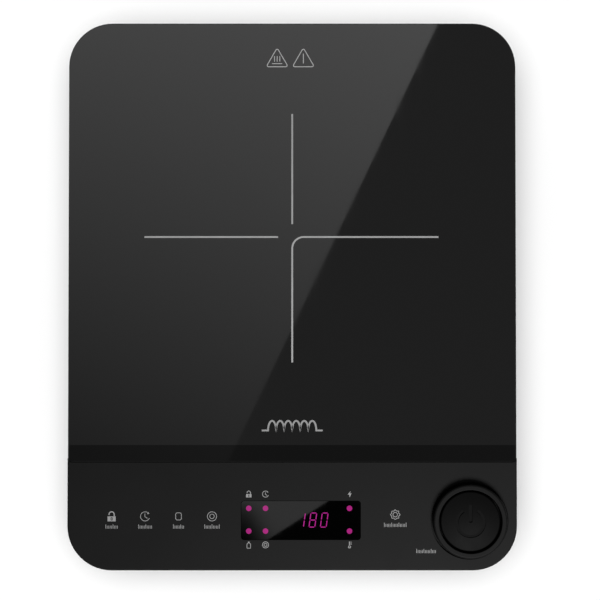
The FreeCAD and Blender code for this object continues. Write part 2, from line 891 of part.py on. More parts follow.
def encoder_rotor():
    body = new_body("encoder_rotor")
    profile = sketch_on(body, "XZ_Plane")
    groove_inner, groove_outer = "(encoder_bore + 1.3)", "(encoder_bore + 3.7)"
    shoulder = f"({BOARD_TOP} + 5.2 + running_gap)"
    outline(
        profile,
        [
            (f"{groove_inner} + running_gap", f"{BOARD_TOP} + 1.2 + running_gap"),
            (f"{groove_outer} - running_gap", f"{BOARD_TOP} + 1.2 + running_gap"),
            (f"{groove_outer} - running_gap", shoulder),
            ("dial_bore - 0.6", shoulder),
            ("dial_bore - 0.6", "collar_level"),
            (f"{groove_inner} + running_gap", "collar_level"),
        ],
    )
    revolve(body, profile)
    lug = sketch_on(body, "XY_Plane", "collar_level - 0.2")
    rectangle(lug, "dial_collar + 0.3", "-key_width / 2", "dial_bore - 0.7", "key_width / 2")
    first = pad(body, lug, "1.5")
    polar(body, first, lug, "3")
    place(body, "dial_x", "dial_y")


def encoder_body():
    body = new_body("encoder_body")
    profile = sketch_on(body, "XZ_Plane")
    top, floor = f"({BOARD_TOP} + 5.2)", f"({BOARD_TOP} + 1.2)"
    outline(
        profile,
        [
            ("encoder_bore", BOARD_TOP),
            ("encoder_radius", BOARD_TOP),
            ("encoder_radius", top, "0.4"),
            ("encoder_bore + 3.7", top),
            ("encoder_bore + 3.7", floor),
            ("encoder_bore + 1.3", floor),
            ("encoder_bore + 1.3", top),
            ("encoder_bore", top),
        ],
    )
    revolve(body, profile)
    place(body, "dial_x", "dial_y")


def power_button():
    body = new_body("power_button")
    profile = sketch_on(body, "XZ_Plane")
    edge, crest, roof = f"({BUTTON_TOP} - button_crown)", BUTTON_TOP, f"({BUTTON_TOP} - 3.4)"
    skirt_inner, rim_inner = "(button_skirt - 1.6)", "(button_radius - 1.6)"
    low_rim, low_skirt, low_stem = f"({roof} - 2.6)", f"({BOARD_TOP} + 6.5)", f"({BOARD_TOP} + 5)"
    corners = [
        ("button_radius", edge),
        ("button_radius", low_rim),
        (rim_inner, low_rim),
        (rim_inner, roof),
        ("button_skirt", roof),
        ("button_skirt", low_skirt),
        (skirt_inner, low_skirt),
        (skirt_inner, roof),
        ("button_stem", roof),
        ("button_stem", low_stem),
        ("0", low_stem),
        ("0", crest),
    ]
    places = [Vector(value(x), value(y), 0) for x, y in corners]
    lines = [profile.addGeometry(Part.LineSegment(a, b), False) for a, b in zip(places, places[1:])]
    for before, after in zip(lines, lines[1:]):
        profile.addConstraint(Sketcher.Constraint("Coincident", before, 2, after, 1))
    for line, (x, y) in zip(lines, corners):
        pin(profile, line, 1, x, y)
    pin(profile, lines[-1], 2, *corners[-1])
    width, crown = value("button_radius"), value("button_crown")
    sphere = (width**2 + crown**2) / (2 * crown)
    middle = Vector(sphere * math.sin(math.asin(width / sphere) / 2), 0, 0)
    middle.y = value(crest) - sphere + math.sqrt(sphere**2 - middle.x**2)
    dome = profile.addGeometry(Part.Arc(places[-1], middle, places[0]), False)
    profile.addConstraint(Sketcher.Constraint("Coincident", dome, 2, lines[-1], 2))
    profile.addConstraint(Sketcher.Constraint("Coincident", dome, 1, lines[0], 1))
    profile.addConstraint(Sketcher.Constraint("PointOnObject", dome, 3, -2))
    turned = revolve(body, profile)
    on_edge = at_level(edge)
    dress(body, "Fillet", turned, lambda box: on_edge(box) and abs(box.XMax - width) < 1e-3, "0.9")

    # power symbol, cut from a level above the dome
    above, sink = f"{BUTTON_TOP} + 1", "1.35 + icon_depth"
    for start, end in (("90 + icon_gap_angle", "270"), ("-90", "90 - icon_gap_angle")):
        half_ring = sketch_on(body, "XY_Plane", above, at=("0", "-icon_shift"))
        sector(half_ring, "icon_inner", "icon_outer", start, end)
        pocket(body, half_ring, sink)
    bar = sketch_on(body, "XY_Plane", above)
    rectangle(bar, "-icon_bar", "icon_bar_low", "icon_bar", "icon_bar_high", "0.8")
    pocket(body, bar, sink)
    place(body, "dial_x", "dial_y")


def button_guide():
    body = new_body("button_guide")
    ring = sketch_on(body, "XY_Plane", BOARD_TOP)
    circle(ring, "0", "0", "guide_radius")
    circle(ring, "0", "0", "guide_bore")
    pad(body, ring, "10.5")
    place(body, "dial_x", "dial_y")


def tact_switch():
    low = ("dial_x - 3", "dial_y - 3", BOARD_TOP)
    high = ("dial_x + 3", "dial_y + 3", f"{BOARD_TOP} + 3.5")
    housing = block("tact_switch_housing", low, high)
    well = rod("tact_switch_well", "dial_x", "dial_y", f"{BOARD_TOP} + 1.2", "1.9", "4")
    node(cut("tact_switch", housing, well), "tact_switch")
    plunger = rod("tact_plunger", "dial_x", "dial_y", f"{BOARD_TOP} + 2.7", "1.7", "2.3")
    node(plunger, "tact_plunger")


def button_spring():
    height = value(f"{BUTTON_TOP} - 3.4 - {BOARD_TOP}") - 0.1
    shape = spring_shape(6.5, 0.4, height, 5)
    feature = solid("button_spring", shape)
    feature.Placement = Placement(Vector(value("dial_x"), value("dial_y"), value(BOARD_TOP)), Rotation())


# ---------------------------------------------------------------- display


def display_board():
    body = new_body("display_board")
    board = sketch_on(body, "XY_Plane", "board_level")
    outline(
        board,
        [
            ("board_left", "board_front", "2"),
            ("board_right", "board_front", "24"),
            ("board_right", "board_rear", "2"),
            ("board_left", "board_rear", "2"),
        ],
    )
    pad(body, board, "board_thickness")
    holes = sketch_on(body, "XY_Plane", BOARD_TOP)
    for x, y in BOARD_SCREWS:
        circle(holes, x, y, "screw_radius + 0.2")
    pocket(body, holes, "board_thickness")


def digits_block(name, grow, low_level, high_level):
    """A block around the digit module, grown sideways."""
    half_x, half_y = f"(digits_width / 2 + {grow})", f"(digits_length / 2 + {grow})"
    low = (f"digits_offset - {half_x}", f"-window_front - {half_y}", low_level)
    high = (f"digits_offset + {half_x}", f"-window_front + {half_y}", high_level)
    return block(name, low, high)


def digit_display():
    module = digits_block("digit_module", "0", BOARD_TOP, f"{BOARD_TOP} + digits_height")
    node(rounded("digit_display", module, 0.6, upright), "digit_display")


def led_places():
    columns = ("led_column_left", "led_column_mid", "led_column_right")
    return [(x, y) for x in columns for y in ("led_row_rear", "led_row_front")]


def indicator_leds():
    roof = f"({DECK_UNDERSIDE} - 0.6)"
    lamps = []
    for i, (x, y) in enumerate(led_places()):
        lamp = rod(f"led_{i}", x, y, BOARD_TOP, "led_radius", f"{roof} - {BOARD_TOP}")
        lamps.append(rounded(f"led_dome_{i}", lamp, 0.8, at_level(roof)))
    group("indicator_leds", lamps)


def light_shield():
    """A white block that fills the space under the window, with a well around each light."""
    half_x, half_y = "(window_width / 2 - window_rim - 0.3)", "(window_length / 2 - 0.6)"
    low = (f"window_offset - {half_x}", f"-window_front - {half_y}", BOARD_TOP)
    high = (f"window_offset + {half_x}", f"-window_front + {half_y}", f"{DECK_UNDERSIDE} - 0.1")
    filled = block("light_shield_block", low, high)
    below, above = f"{BOARD_TOP} - 1", f"{DECK} + 1"
    room = digits_block("light_shield_room", "0.3", below, above)
    wells = []
    for i, (x, y) in enumerate(led_places()):
        wells.append(rod(f"led_well_{i}", x, y, below, "led_radius + 0.2", f"{above} - ({below})"))
    node(cut("light_shield", filled, room, *wells), "light_shield")


def touch_springs():
    height = value(f"{DECK_UNDERSIDE} - {BOARD_TOP}")
    shape = spring_shape(value("key_radius") - 0.4, 0.4, height, 4)
    places = [Vector(x, value("key_row"), value(BOARD_TOP)) for x in TOUCH_KEYS]
    solid("touch_springs", Part.makeCompound([shape.translated(p) for p in places]))


def small_board_parts():
    node(rod("buzzer", "70", "-150", BOARD_TOP, "6", "7"), "buzzer")
    chip = block("touch_controller", ("-69", "-159", BOARD_TOP), ("-51", "-151.5", f"{BOARD_TOP} + 2.4"))
    node(chip, "touch_controller")
    screws("display_screws", BOARD_SCREWS, "board_level", "7.5", upward=True)


# ---------------------------------------------------------------- coil


def coil_former():
    body = new_body("coil_former")
    at = ("0", "zone_offset")
    plate = sketch_on(body, "XY_Plane", "former_level", at=at)
    circle(plate, "0", "0", "former_radius")
    circle(plate, "0", "0", "hub_radius - hub_wall")
    pad(body, plate, "former_plate")
    rim = sketch_on(body, "XY_Plane", "former_level", at=at)
    circle(rim, "0", "0", "former_radius")
    circle(rim, "0", "0", "former_radius - 1.5")
    pad(body, rim, "former_plate + 2.4")
    hub = sketch_on(body, "XY_Plane", "former_level - 4", at=at)
    circle(hub, "0", "0", "hub_radius")
    circle(hub, "0", "0", "hub_radius - hub_wall")
    pad(body, hub, "4 + former_plate + 2.6")
    gap = sketch_on(body, "XY_Plane", "former_level", at=at)
    sector(gap, "hub_radius + 4", "former_radius - 2", "-20", "20")
    first = pocket(body, gap, "former_plate", up=True)
    polar(body, first, gap, "6")
    ear = sketch_on(body, "XY_Plane", "former_level", at=at)
    circle(ear, "0", "ear_reach", "ear_radius")
    first = pad(body, ear, "former_plate")
    polar(body, first, ear, "3")
    hole = sketch_on(body, "XY_Plane", "former_level", at=at)
    circle(hole, "0", "ear_reach", "screw_radius + 0.4")
    first = pocket(body, hole, "former_plate", up=True)
    polar(body, first, hole, "3")


def induction_coil():
    """A flat spiral of half circles; the radius grows by half the pitch at each half turn."""
    step = value("coil_pitch") / 2
    half_width = value("strand_width") / 2
    zone = Vector(0, value("zone_offset"), 0)
    sides = {1: [], -1: []}
    for turn in range(int(2 * value("coil_turns"))):
        centre = zone + Vector(step * (turn % 2), 0, 0)
        facing = 1 if turn % 2 == 0 else -1
        for side in sides:
            radius = value("coil_inner") + step * turn + side * half_width
            start, top = Vector(facing * radius, 0, 0), Vector(0, facing * radius, 0)
            sides[side].append(Part.Arc(centre + start, centre + top, centre - start))
    outer, inner = sides[1], sides[-1]
    first_cap = Part.LineSegment(inner[0].StartPoint, outer[0].StartPoint)
    last_cap = Part.LineSegment(outer[-1].EndPoint, inner[-1].EndPoint)
    edges = [line.toShape() for line in (*outer, *inner, first_cap, last_cap)]
    face = Part.Face(Part.Wire(Part.__sortEdges__(edges)))
    shape = face.extrude(Vector(0, 0, value("strand_height")))
    feature = solid("induction_coil", shape)
    feature.Placement = Placement(Vector(0, 0, value("former_level + former_plate")), Rotation())


def ferrite_bars():
    bars = []
    for i in range(6):
        bar = block(f"ferrite_bar_{i}", ("0", "0", "0"), ("bar_length", "bar_width", "bar_height"))
        turn = Rotation(Vector(0, 0, 1), 30 + 60 * i)
        bar.Placement = Placement(Vector(), turn)
        angle = f"{30 + 60 * i}"
        reach = "(hub_radius + 9)"
        x = f"{reach} * cos({angle}) + bar_width / 2 * sin({angle})"
        y = f"zone_offset + {reach} * sin({angle}) - bar_width / 2 * cos({angle})"
        bars.append(place(bar, x, y, "former_level - bar_height"))
    group("ferrite_bars", bars)


def coil_cover():
    body = new_body("mica_sheet")
    coil_top = "former_level + former_plate + strand_height"
    disc = sketch_on(body, "XY_Plane", f"{coil_top} + 0.1", at=("0", "zone_offset"))
    circle(disc, "0", "0", "mica_radius - 0.9")
    circle(disc, "0", "0", "11")
    pad(body, disc, "mica_thickness")


def temperature_sensor():
    top = GLASS_BASE
    puck = rod("sensor_puck", "0", "zone_offset", "former_level - 2", "hub_radius - hub_wall - 0.1", "6.5")
    nose = rod("sensor_nose", "0", "zone_offset", "former_level + 4", "7", f"{top} - former_level - 4")
    well = rod("sensor_well", "0", "zone_offset", f"{top} - 1", "2.6", "2")
    node(cut("sensor_holder", fuse("sensor_body", puck, nose), well), "sensor_holder")
    node(rod("thermistor", "0", "zone_offset", f"{top} - 1", "2.5", "1"), "thermistor")


def coil_fixings():
    rise = value("former_level - post_level")
    shape = spring_shape(3.6, 0.5, rise, 4)
    places = [Vector(value(x), value(y), value("post_level")) for x, y in coil_ears()]
    solid("coil_springs", Part.makeCompound([shape.translated(p) for p in places]))
    screws("coil_screws", coil_ears(), "former_level + former_plate", "18")


# ---------------------------------------------------------------- power electronics


def power_board():
    body = new_body("power_board")
    board = sketch_on(body, "XY_Plane", "pcb_level")
    rectangle(board, "pcb_left", "pcb_front", "pcb_right", "pcb_rear", "2")
    pad(body, board, "pcb_thickness")
    holes = sketch_on(body, "XY_Plane", PCB_TOP)
    for x, y in PCB_SCREWS:
        circle(holes, x, y, "screw_radius + 0.2")
    circle(holes, *coil_ears()[2], "post_radius + 1.5")
    pocket(body, holes, "pcb_thickness")
    screws("power_board_screws", PCB_SCREWS, PCB_TOP, "6")


def heat_sink():
    """An extrusion: a flat plate over the power devices, with upright fins on it."""
    body = new_body("heat_sink")
    plate = sketch_on(body, "YZ_Plane", "sink_left")
    rectangle(plate, "sink_front", "sink_base", "sink_rear", "sink_base + sink_plate")
    pad(body, plate, "sink_right - sink_left")
    fin = sketch_on(body, "YZ_Plane", "sink_left")
    rectangle(fin, "sink_front", "sink_base", "sink_front + fin_wall", "sink_top")
    first = pad(body, fin, "sink_right - sink_left")
    linear(body, first, fin, "H_Axis", "sink_rear - sink_front - fin_wall", "fin_count")
    for low in ("sink_front", "sink_rear - fin_wall"):
        leg = sketch_on(body, "YZ_Plane", "sink_left")
        rectangle(leg, low, PCB_TOP, f"{low} + fin_wall", "sink_base + 1")
        pad(body, leg, "sink_right - sink_left")


def power_device(label, x, width, legs):
    """A flat package under the heat sink, with legs down to the board."""
    low, high = (x, "-86", "sink_base - 4.8"), (f"{x} + {width}", "-66", "sink_base")
    parts = [block(f"{label}_case", low, high)]
    for i in range(legs):
        left = f"{x} + {width} * {(i + 1) / (legs + 1):.4f} - 0.6"
        leg = block(f"{label}_leg_{i}", (left, "-90", PCB_TOP), (f"{left} + 1.2", "-85.5", "sink_base - 3"))
        parts.append(leg)
    node(fuse(label, *parts), label)


def capacitor_block(name, left, front, width, depth, height):
    top = f"{PCB_TOP} + {height}"
    low, high = (str(left), str(front), PCB_TOP), (str(left + width), str(front + depth), top)
    return rounded(name, block(f"{name}_box", low, high), 1.2, lambda box: upright(box) or at_level(top)(box))


def board_components():
    power_device("igbt", "6", "16", 3)
    power_device("bridge_rectifier", "42", "28", 4)
    group(
        "film_capacitors",
        [
            capacitor_block("resonant_capacitor", 86, -98, 28, 18, 20),
            capacitor_block("dc_link_capacitor", 86, -76, 32, 17, 18),
            capacitor_block("suppression_capacitor", 92, -54, 26, 11, 18),
        ],
    )
    choke_base = f"({PCB_TOP} + choke_lift)"
    core = cut(
        "choke_core",
        rod("choke_outside", "choke_x", "choke_y", choke_base, "choke_outer", "choke_height"),
        rod("choke_inside", "choke_x", "choke_y", f"{choke_base} - 1", "choke_inner", "choke_height + 2"),
    )
    node(core, "choke_core")
    choke_winding(f"{choke_base} + choke_height / 2")
    core = block("transformer_core", ("20", "32", f"{PCB_TOP} + 1"), ("40", "48", f"{PCB_TOP} + 15"))
    bobbin = block("transformer_bobbin", ("23", "28", PCB_TOP), ("37", "52", f"{PCB_TOP} + 13"))
    node(fuse("aux_transformer", core, bobbin), "aux_transformer")
    cans = []
    for i, y in enumerate((20, 36)):
        can = rod(f"electrolytic_{i}", "8", str(y), PCB_TOP, "5", "16")
        cans.append(rounded(f"electrolytic_can_{i}", can, 0.8, at_level(f"{PCB_TOP} + 16")))
    group("electrolytic_capacitors", cans)
    mains_fuse()


def choke_winding(level):
    """Turns of wire around the choke's ring core, each a torus that clears it."""
    turns = []
    count = 16
    for i in range(count):
        turn = doc.addObject("Part::Torus", f"choke_turn_{i}")
        bind(turn, "Radius1", "(choke_outer - choke_inner) / 2 + 2.2 + choke_wire")
        bind(turn, "Radius2", "choke_wire")
        angle = 360 / count * i
        facing = Rotation(Vector(0, 0, 1), angle) * Rotation(Vector(1, 0, 0), 90)
        turn.Placement = Placement(Vector(), facing)
        reach = "(choke_inner + choke_outer) / 2"
        x, y = f"choke_x + {reach} * cos({angle})", f"choke_y + {reach} * sin({angle})"
        turns.append(place(turn, x, y, level))
    group("choke_winding", turns)


def mains_fuse():
    """A glass tube with a cap at each end, held in two clips."""
    axis, start, end = f"{PCB_TOP} + 4", "(fuse_x - fuse_length / 2)", "(fuse_x + fuse_length / 2)"
    tube = rod("fuse_tube", start, "fuse_y", axis, "fuse_radius", "fuse_length", "x")
    parts = [tube]
    for name, cap_at, clip_at in (("left", f"{start} - 1", start), ("right", f"{end} - 4", f"{end} - 3")):
        parts.append(rod(f"fuse_cap_{name}", cap_at, "fuse_y", axis, "fuse_radius + 0.4", "5", "x"))
        low, high = (clip_at, "fuse_y - 3", PCB_TOP), (f"{clip_at} + 3", "fuse_y + 3", axis)
        parts.append(block(f"fuse_clip_{name}", low, high))
    node(fuse("mains_fuse", *parts), "mains_fuse")


def wiring():
    board_top, pcb_top = value(BOARD_TOP), value(PCB_TOP)
    under = value("board_level")
    places = [
        ("display", ("-24", "-125", "board_level - 6"), ("-8", "-119.5", "board_level")),
        ("ribbon", ("-24", "-92.5", PCB_TOP), ("-8", "-87", f"{PCB_TOP} + 6")),
        ("fan", ("-24", "-64", PCB_TOP), ("-17", "-58", f"{PCB_TOP} + 6")),
        ("sensor", ("-24", "-4", PCB_TOP), ("-17", "2", f"{PCB_TOP} + 6")),
        ("mains", ("86", "50", PCB_TOP), ("112", "58", f"{PCB_TOP} + 9")),
    ]
    group("wire_connectors", [block(f"{name}_connector", low, high) for name, low, high in places])
    posts = []
    for name in ("inner", "outer"):
        posts.append(rod(f"coil_terminal_{name}", f"{name}_terminal_x", "terminal_y", PCB_TOP, "3.5", "7"))
    group("coil_terminals", posts)

    front, rear, sag = -122.2, -89.7, 27
    ribbon_run = [(front, under - 6), (front, sag), (rear, sag), (rear, pcb_top + 6)]
    half = value("ribbon_width") / 2
    around = [(-half, -0.5), (half, -0.5), (half, 0.5), (-half, 0.5), (-half, -0.5)]
    section = Part.makePolygon([Vector(x, front + y, under - 6) for x, y in around])
    ribbon = route([Vector(0, y, z) for y, z in ribbon_run]).makePipeShell([section], True, False)
    solid("ribbon_cable", ribbon).Placement = Placement(Vector(value("ribbon_x"), 0, 0), Rotation())

    zone = value("zone_offset")
    start, level, terminal = value("former_level + former_plate"), 33, pcb_top + 7
    inner_x = value("coil_inner")
    outer_x = value("coil_inner + coil_pitch * coil_turns")
    for name, coil_x in (("inner", inner_x), ("outer", outer_x)):
        x, y = value(f"{name}_terminal_x"), value("terminal_y")
        path = [(coil_x, zone, start), (coil_x, zone, level), (x, y, level), (x, y, terminal)]
        solid(f"coil_lead_{name}", wire_shape(path, 1.2))
    path = [(0, zone, value("former_level - 2")), (0, zone, 30), (-20, -1, 30), (-20, -1, pcb_top + 6)]
    solid("sensor_lead", wire_shape(path, 0.9))
    path = [(-43.9, -40, 22), (-36, -40, 22), (-30, -61, 22), (-20.5, -61, 25), (-20.5, -61, pcb_top + 6)]
    solid("fan_lead", wire_shape(path, 1))
    leads = []
    rear, low, high = value("block_front"), value(f"{FLOOR} + 4"), 20
    for x in (94, 104):
        leads.append(wire_shape([(x, rear, low), (x, 90, low), (x, 74, high), (x, 58, high)], 1.4))
    solid("mains_leads", Part.makeCompound(leads))


# ---------------------------------------------------------------- fan


def fan_frame():
    body = new_body("fan_frame")
    at = ("fan_x", "fan_y")
    half = "fan_size / 2"
    frame = sketch_on(body, "XY_Plane", "fan_level", at=at)
    rectangle(frame, f"-{half}", f"-{half}", half, half, "4")
    circle(frame, "0", "0", "fan_bore")
    pad(body, frame, "fan_height")
    # relief at the corners leaves thin mounting ears at the base
    relief = sketch_on(body, "XY_Plane", "fan_level + 3", at=at)
    near, far = f"{half} - 11.5", f"{half} + 2"
    rectangle(relief, near, near, far, far, "5")
    first = pocket(body, relief, "fan_height", up=True)
    polar(body, first, relief, "4")
    hub = sketch_on(body, "XY_Plane", "fan_level", at=at)
    circle(hub, "0", "0", "fan_hub - 1")
    pad(body, hub, "2")
    arm = sketch_on(body, "XY_Plane", "fan_level", at=at)
    rectangle(arm, "0", "-2", "fan_bore + 1", "2")
    first = pad(body, arm, "2")
    polar(body, first, arm, "3")
    hole = sketch_on(body, "XY_Plane", "fan_level", at=at)
    circle(hole, "fan_hole_pitch / 2", "fan_hole_pitch / 2", "screw_radius + 0.3")
    first = pocket(body, hole, "fan_height", up=True)
    polar(body, first, hole, "4")


def fan_rotor():
    body = new_body("fan_rotor")
    profile = sketch_on(body, "XZ_Plane")
    top, low = "(fan_level + fan_height - 0.5)", "(fan_level + 2.8)"
    outline(
        profile,
        [
            ("0", low),
            ("1.2", low),
            ("1.2", f"{top} - 1.5"),
            ("fan_hub - 1.5", f"{top} - 1.5"),
            ("fan_hub - 1.5", low),
            ("fan_hub", low),
            ("fan_hub", top, "1"),
            ("0", top),
        ],
    )
    revolve(body, profile)
    blade = sketch_on(body, "YZ_Plane", "fan_hub - 0.8")
    outline(
        blade,
        [
            ("-5.5", "fan_level + 3.4"),
            ("-4.2", "fan_level + 3.2"),
            ("0.8", "fan_level + 8.4"),
            ("5.6", "fan_level + 13.6"),
            ("4.3", "fan_level + 13.8"),
            ("-0.6", "fan_level + 9.2"),
        ],
    )
    first = pad(body, blade, "fan_bore - fan_hub - 0.8")
    turn = sketch_on(body, "XY_Plane")
    circle(turn, "0", "0", "1")
    doc.recompute()
    polar(body, first, turn, "fan_blades")
    place(body, "fan_x", "fan_y")


def fan_stator():
    body = new_body("fan_stator")
    profile = sketch_on(body, "XZ_Plane")
    outline(
        profile,
        [
            ("1.5", "fan_level + 2"),
            ("13", "fan_level + 2"),
            ("13", "fan_level + 8"),
            ("4", "fan_level + 8"),
            ("4", "fan_level + 11.5"),
            ("1.5", "fan_level + 11.5"),
        ],
    )
    revolve(body, profile)
    place(body, "fan_x", "fan_y")


def write_parts():
    """Checks every object and sub-part, then writes the STEP files."""
    doc.recompute()
    for thing in doc.Objects:
        bad = {"Invalid", "Error"} & set(thing.State)
        if bad:
            raise RuntimeError(f"{thing.Label} is {bad}")
    for thing in nodes:
        shape = thing.Shape
        if shape.isNull() or not shape.isValid() or not shape.Solids or shape.Volume <= 0:
            raise RuntimeError(f"{thing.Label} has a bad shape")
    os.makedirs("parts", exist_ok=True)
    for thing in nodes:
        thing.Shape.exportStep(f"parts/{thing.Label}.step")
    print(len(nodes), "sub-parts written")


bottom_case()
top_frame()
glass_plate()
glass_seal()
display_window()
feet()
rating_plate()
cord_gland()
terminal_block()
screws("case_screws", CASE_SCREWS, "case_base + 6", "18", upward=True)
dial_ring()
encoder_rotor()
encoder_body()
power_button()
button_guide()
tact_switch()
button_spring()
display_board()
digit_display()
indicator_leds()
light_shield()
touch_springs()
small_board_parts()
coil_former()
induction_coil()
ferrite_bars()
coil_cover()
temperature_sensor()
coil_fixings()
power_board()
heat_sink()
board_components()
wiring()
fan_frame()
fan_rotor()
fan_stator()
screws("fan_screws", fan_holes(), "fan_level + 3", "7")
write_parts()
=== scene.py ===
import math

import bmesh
import bpy
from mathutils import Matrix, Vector


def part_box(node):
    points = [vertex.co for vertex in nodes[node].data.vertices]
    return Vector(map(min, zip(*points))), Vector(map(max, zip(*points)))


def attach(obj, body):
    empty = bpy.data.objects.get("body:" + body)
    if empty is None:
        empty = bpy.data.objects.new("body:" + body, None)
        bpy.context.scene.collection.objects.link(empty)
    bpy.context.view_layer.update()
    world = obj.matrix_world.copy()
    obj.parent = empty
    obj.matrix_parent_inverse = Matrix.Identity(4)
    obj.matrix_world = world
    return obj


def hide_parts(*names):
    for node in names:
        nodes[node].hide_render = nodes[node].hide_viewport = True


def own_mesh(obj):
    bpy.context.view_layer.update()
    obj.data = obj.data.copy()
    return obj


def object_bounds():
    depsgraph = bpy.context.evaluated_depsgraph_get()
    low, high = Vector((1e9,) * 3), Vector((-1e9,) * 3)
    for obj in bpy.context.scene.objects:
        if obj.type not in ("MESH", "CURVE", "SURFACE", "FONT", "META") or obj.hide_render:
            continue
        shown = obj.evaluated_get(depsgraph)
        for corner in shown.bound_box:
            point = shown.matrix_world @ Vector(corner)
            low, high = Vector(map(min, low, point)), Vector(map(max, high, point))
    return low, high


# Portable induction cooktop, seen from above on a white floor. Metres, +Z up, controls towards -Y.

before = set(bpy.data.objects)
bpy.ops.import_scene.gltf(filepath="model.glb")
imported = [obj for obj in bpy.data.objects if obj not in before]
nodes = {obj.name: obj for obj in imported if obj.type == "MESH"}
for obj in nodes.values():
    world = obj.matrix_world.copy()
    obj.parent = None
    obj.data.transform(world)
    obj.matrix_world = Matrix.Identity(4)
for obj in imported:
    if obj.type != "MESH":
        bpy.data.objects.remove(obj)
cad_low, cad_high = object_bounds()

MM = 0.001
SENSOR = 36


def centre(node):
    """The middle of a CAD node's box."""
    low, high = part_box(node)
    return (low + high) / 2


GLASS_LOW, GLASS_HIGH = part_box("glass_plate")
WINDOW_LOW, WINDOW_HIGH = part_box("display_window")
TOP = GLASS_HIGH.z
ZONE = centre("mica_sheet")
DIAL = centre("power_button")


def linear(level):
    """The linear brightness of a display level from 0 to 255."""
    share = level / 255
    return share / 12.92 if share < 0.04045 else ((share + 0.055) / 1.055) ** 2.4


# ---------------------------------------------------------------- camera

# The body takes this share of the frame's width, and the aim is off centre by shares of that width.
FRAME_SHARE = 0.7475
LENS = 100
TILT = math.radians(1.3)
VIEW_WIDTH = (cad_high.x - cad_low.x) / FRAME_SHARE
DISTANCE = VIEW_WIDTH * LENS / SENSOR
AIM_RIGHT, AIM_REAR = 0.0130, -0.0070
AIM = Vector((AIM_RIGHT * VIEW_WIDTH, AIM_REAR * VIEW_WIDTH, TOP))


def make_camera():
    """A long lens that looks down from almost straight above."""
    camera = bpy.data.objects.new("camera", bpy.data.cameras.new("camera"))
    bpy.context.scene.collection.objects.link(camera)
    camera.data.lens = LENS
    camera.data.sensor_width = SENSOR
    camera.data.clip_end = 20
    camera.location = AIM + DISTANCE * Vector((0, -math.sin(TILT), math.cos(TILT)))
    camera.rotation_euler = (TILT, 0, 0)
    bpy.context.scene.camera = camera


# ---------------------------------------------------------------- material building


def new_material(name):
    """A node material, its tree and its shader."""
    made = bpy.data.materials.new(name)
    made.use_nodes = True
    tree = made.node_tree
    return made, tree, tree.nodes["Principled BSDF"]


def add(tree, kind, **settings):
    """A node with some of its sockets or properties set."""
    made = tree.nodes.new(kind)
    for key, setting in settings.items():
        socket = made.inputs.get(key.replace("_", " "))
        if socket is not None:
            socket.default_value = setting
        else:
            setattr(made, key, setting)
    return made


def object_space(tree, stretch=(1, 1, 1)):
    """Object coordinates in millimetres, stretched along the axes."""
    space = add(tree, "ShaderNodeTexCoord")
    scale = add(tree, "ShaderNodeMapping", Scale=[share / MM for share in stretch])
    tree.links.new(space.outputs["Object"], scale.inputs["Vector"])
    return scale.outputs["Vector"]


def noise(tree, space, size, detail=2.0, rough=0.5):
    """Noise whose features are about that many millimetres across."""
    made = add(tree, "ShaderNodeTexNoise", Scale=1 / size, Detail=detail, Roughness=rough)
    tree.links.new(space, made.inputs["Vector"])
    return made.outputs["Fac"]


def spread(tree, factor, low, high, start=0.3, end=0.7):
    """A number between low and high that follows a factor."""
    made = add(tree, "ShaderNodeMapRange", From_Min=start, From_Max=end, To_Min=low, To_Max=high)
    tree.links.new(factor, made.inputs["Value"])
    return made.outputs["Result"]


def blend_colours(tree, factor, first, second, start=0.35, end=0.65):
    """A colour that goes from the first to the second as a factor rises from start to end."""
    ramp = add(tree, "ShaderNodeValToRGB")
    ramp.color_ramp.elements[0].position = start
    ramp.color_ramp.elements[0].color = (*first, 1)
    ramp.color_ramp.elements[1].position = end
    ramp.color_ramp.elements[1].color = (*second, 1)
    tree.links.new(factor, ramp.inputs["Fac"])
    return ramp.outputs["Color"]


def raise_bumps(tree, shader, height, depth):
    """Bumps of a depth in millimetres."""
    made = add(tree, "ShaderNodeBump", Distance=depth * MM, Strength=1)
    tree.links.new(height, made.inputs["Height"])
    tree.links.new(made.outputs["Normal"], shader.inputs["Normal"])


def scaled(colour, share):
    """A colour made darker or lighter."""
    return tuple(min(1, part * share) for part in colour)


def grey(level):
    """A neutral colour."""
    return (level, level, level)


def surface(name, colour, roughness, grain=0.4, depth=0.01, change=0.15, patch=18, **sockets):
    """A plain solid with fine grain, slow changes of tone and uneven gloss. Sizes are in millimetres."""
    made, tree, shader = new_material(name)
    space = object_space(tree)
    tone = noise(tree, space, patch, 3)
    mixed = blend_colours(tree, tone, scaled(colour, 1 - change), scaled(colour, 1 + change))
    tree.links.new(mixed, shader.inputs["Base Color"])
    fine = noise(tree, space, grain, 2)
    gloss = spread(tree, tone, roughness - 0.04, roughness + 0.04)
    tree.links.new(gloss, shader.inputs["Roughness"])
    raise_bumps(tree, shader, fine, depth)
    for socket, setting in sockets.items():
        shader.inputs[socket.replace("_", " ")].default_value = setting
    return made


def brushed(name, colour, roughness, stretch, depth=0.004):
    """Metal with fine lines along the axis that is stretched least."""
    made, tree, shader = new_material(name)
    lines = noise(tree, object_space(tree, stretch), 1, 3)
    patches = noise(tree, object_space(tree), 12, 2)
    mixed = blend_colours(tree, lines, scaled(colour, 0.82), scaled(colour, 1.08))
    tree.links.new(mixed, shader.inputs["Base Color"])
    tree.links.new(spread(tree, patches, roughness - 0.06, roughness + 0.08), shader.inputs["Roughness"])
    raise_bumps(tree, shader, lines, depth)
    shader.inputs["Metallic"].default_value = 1
    return made


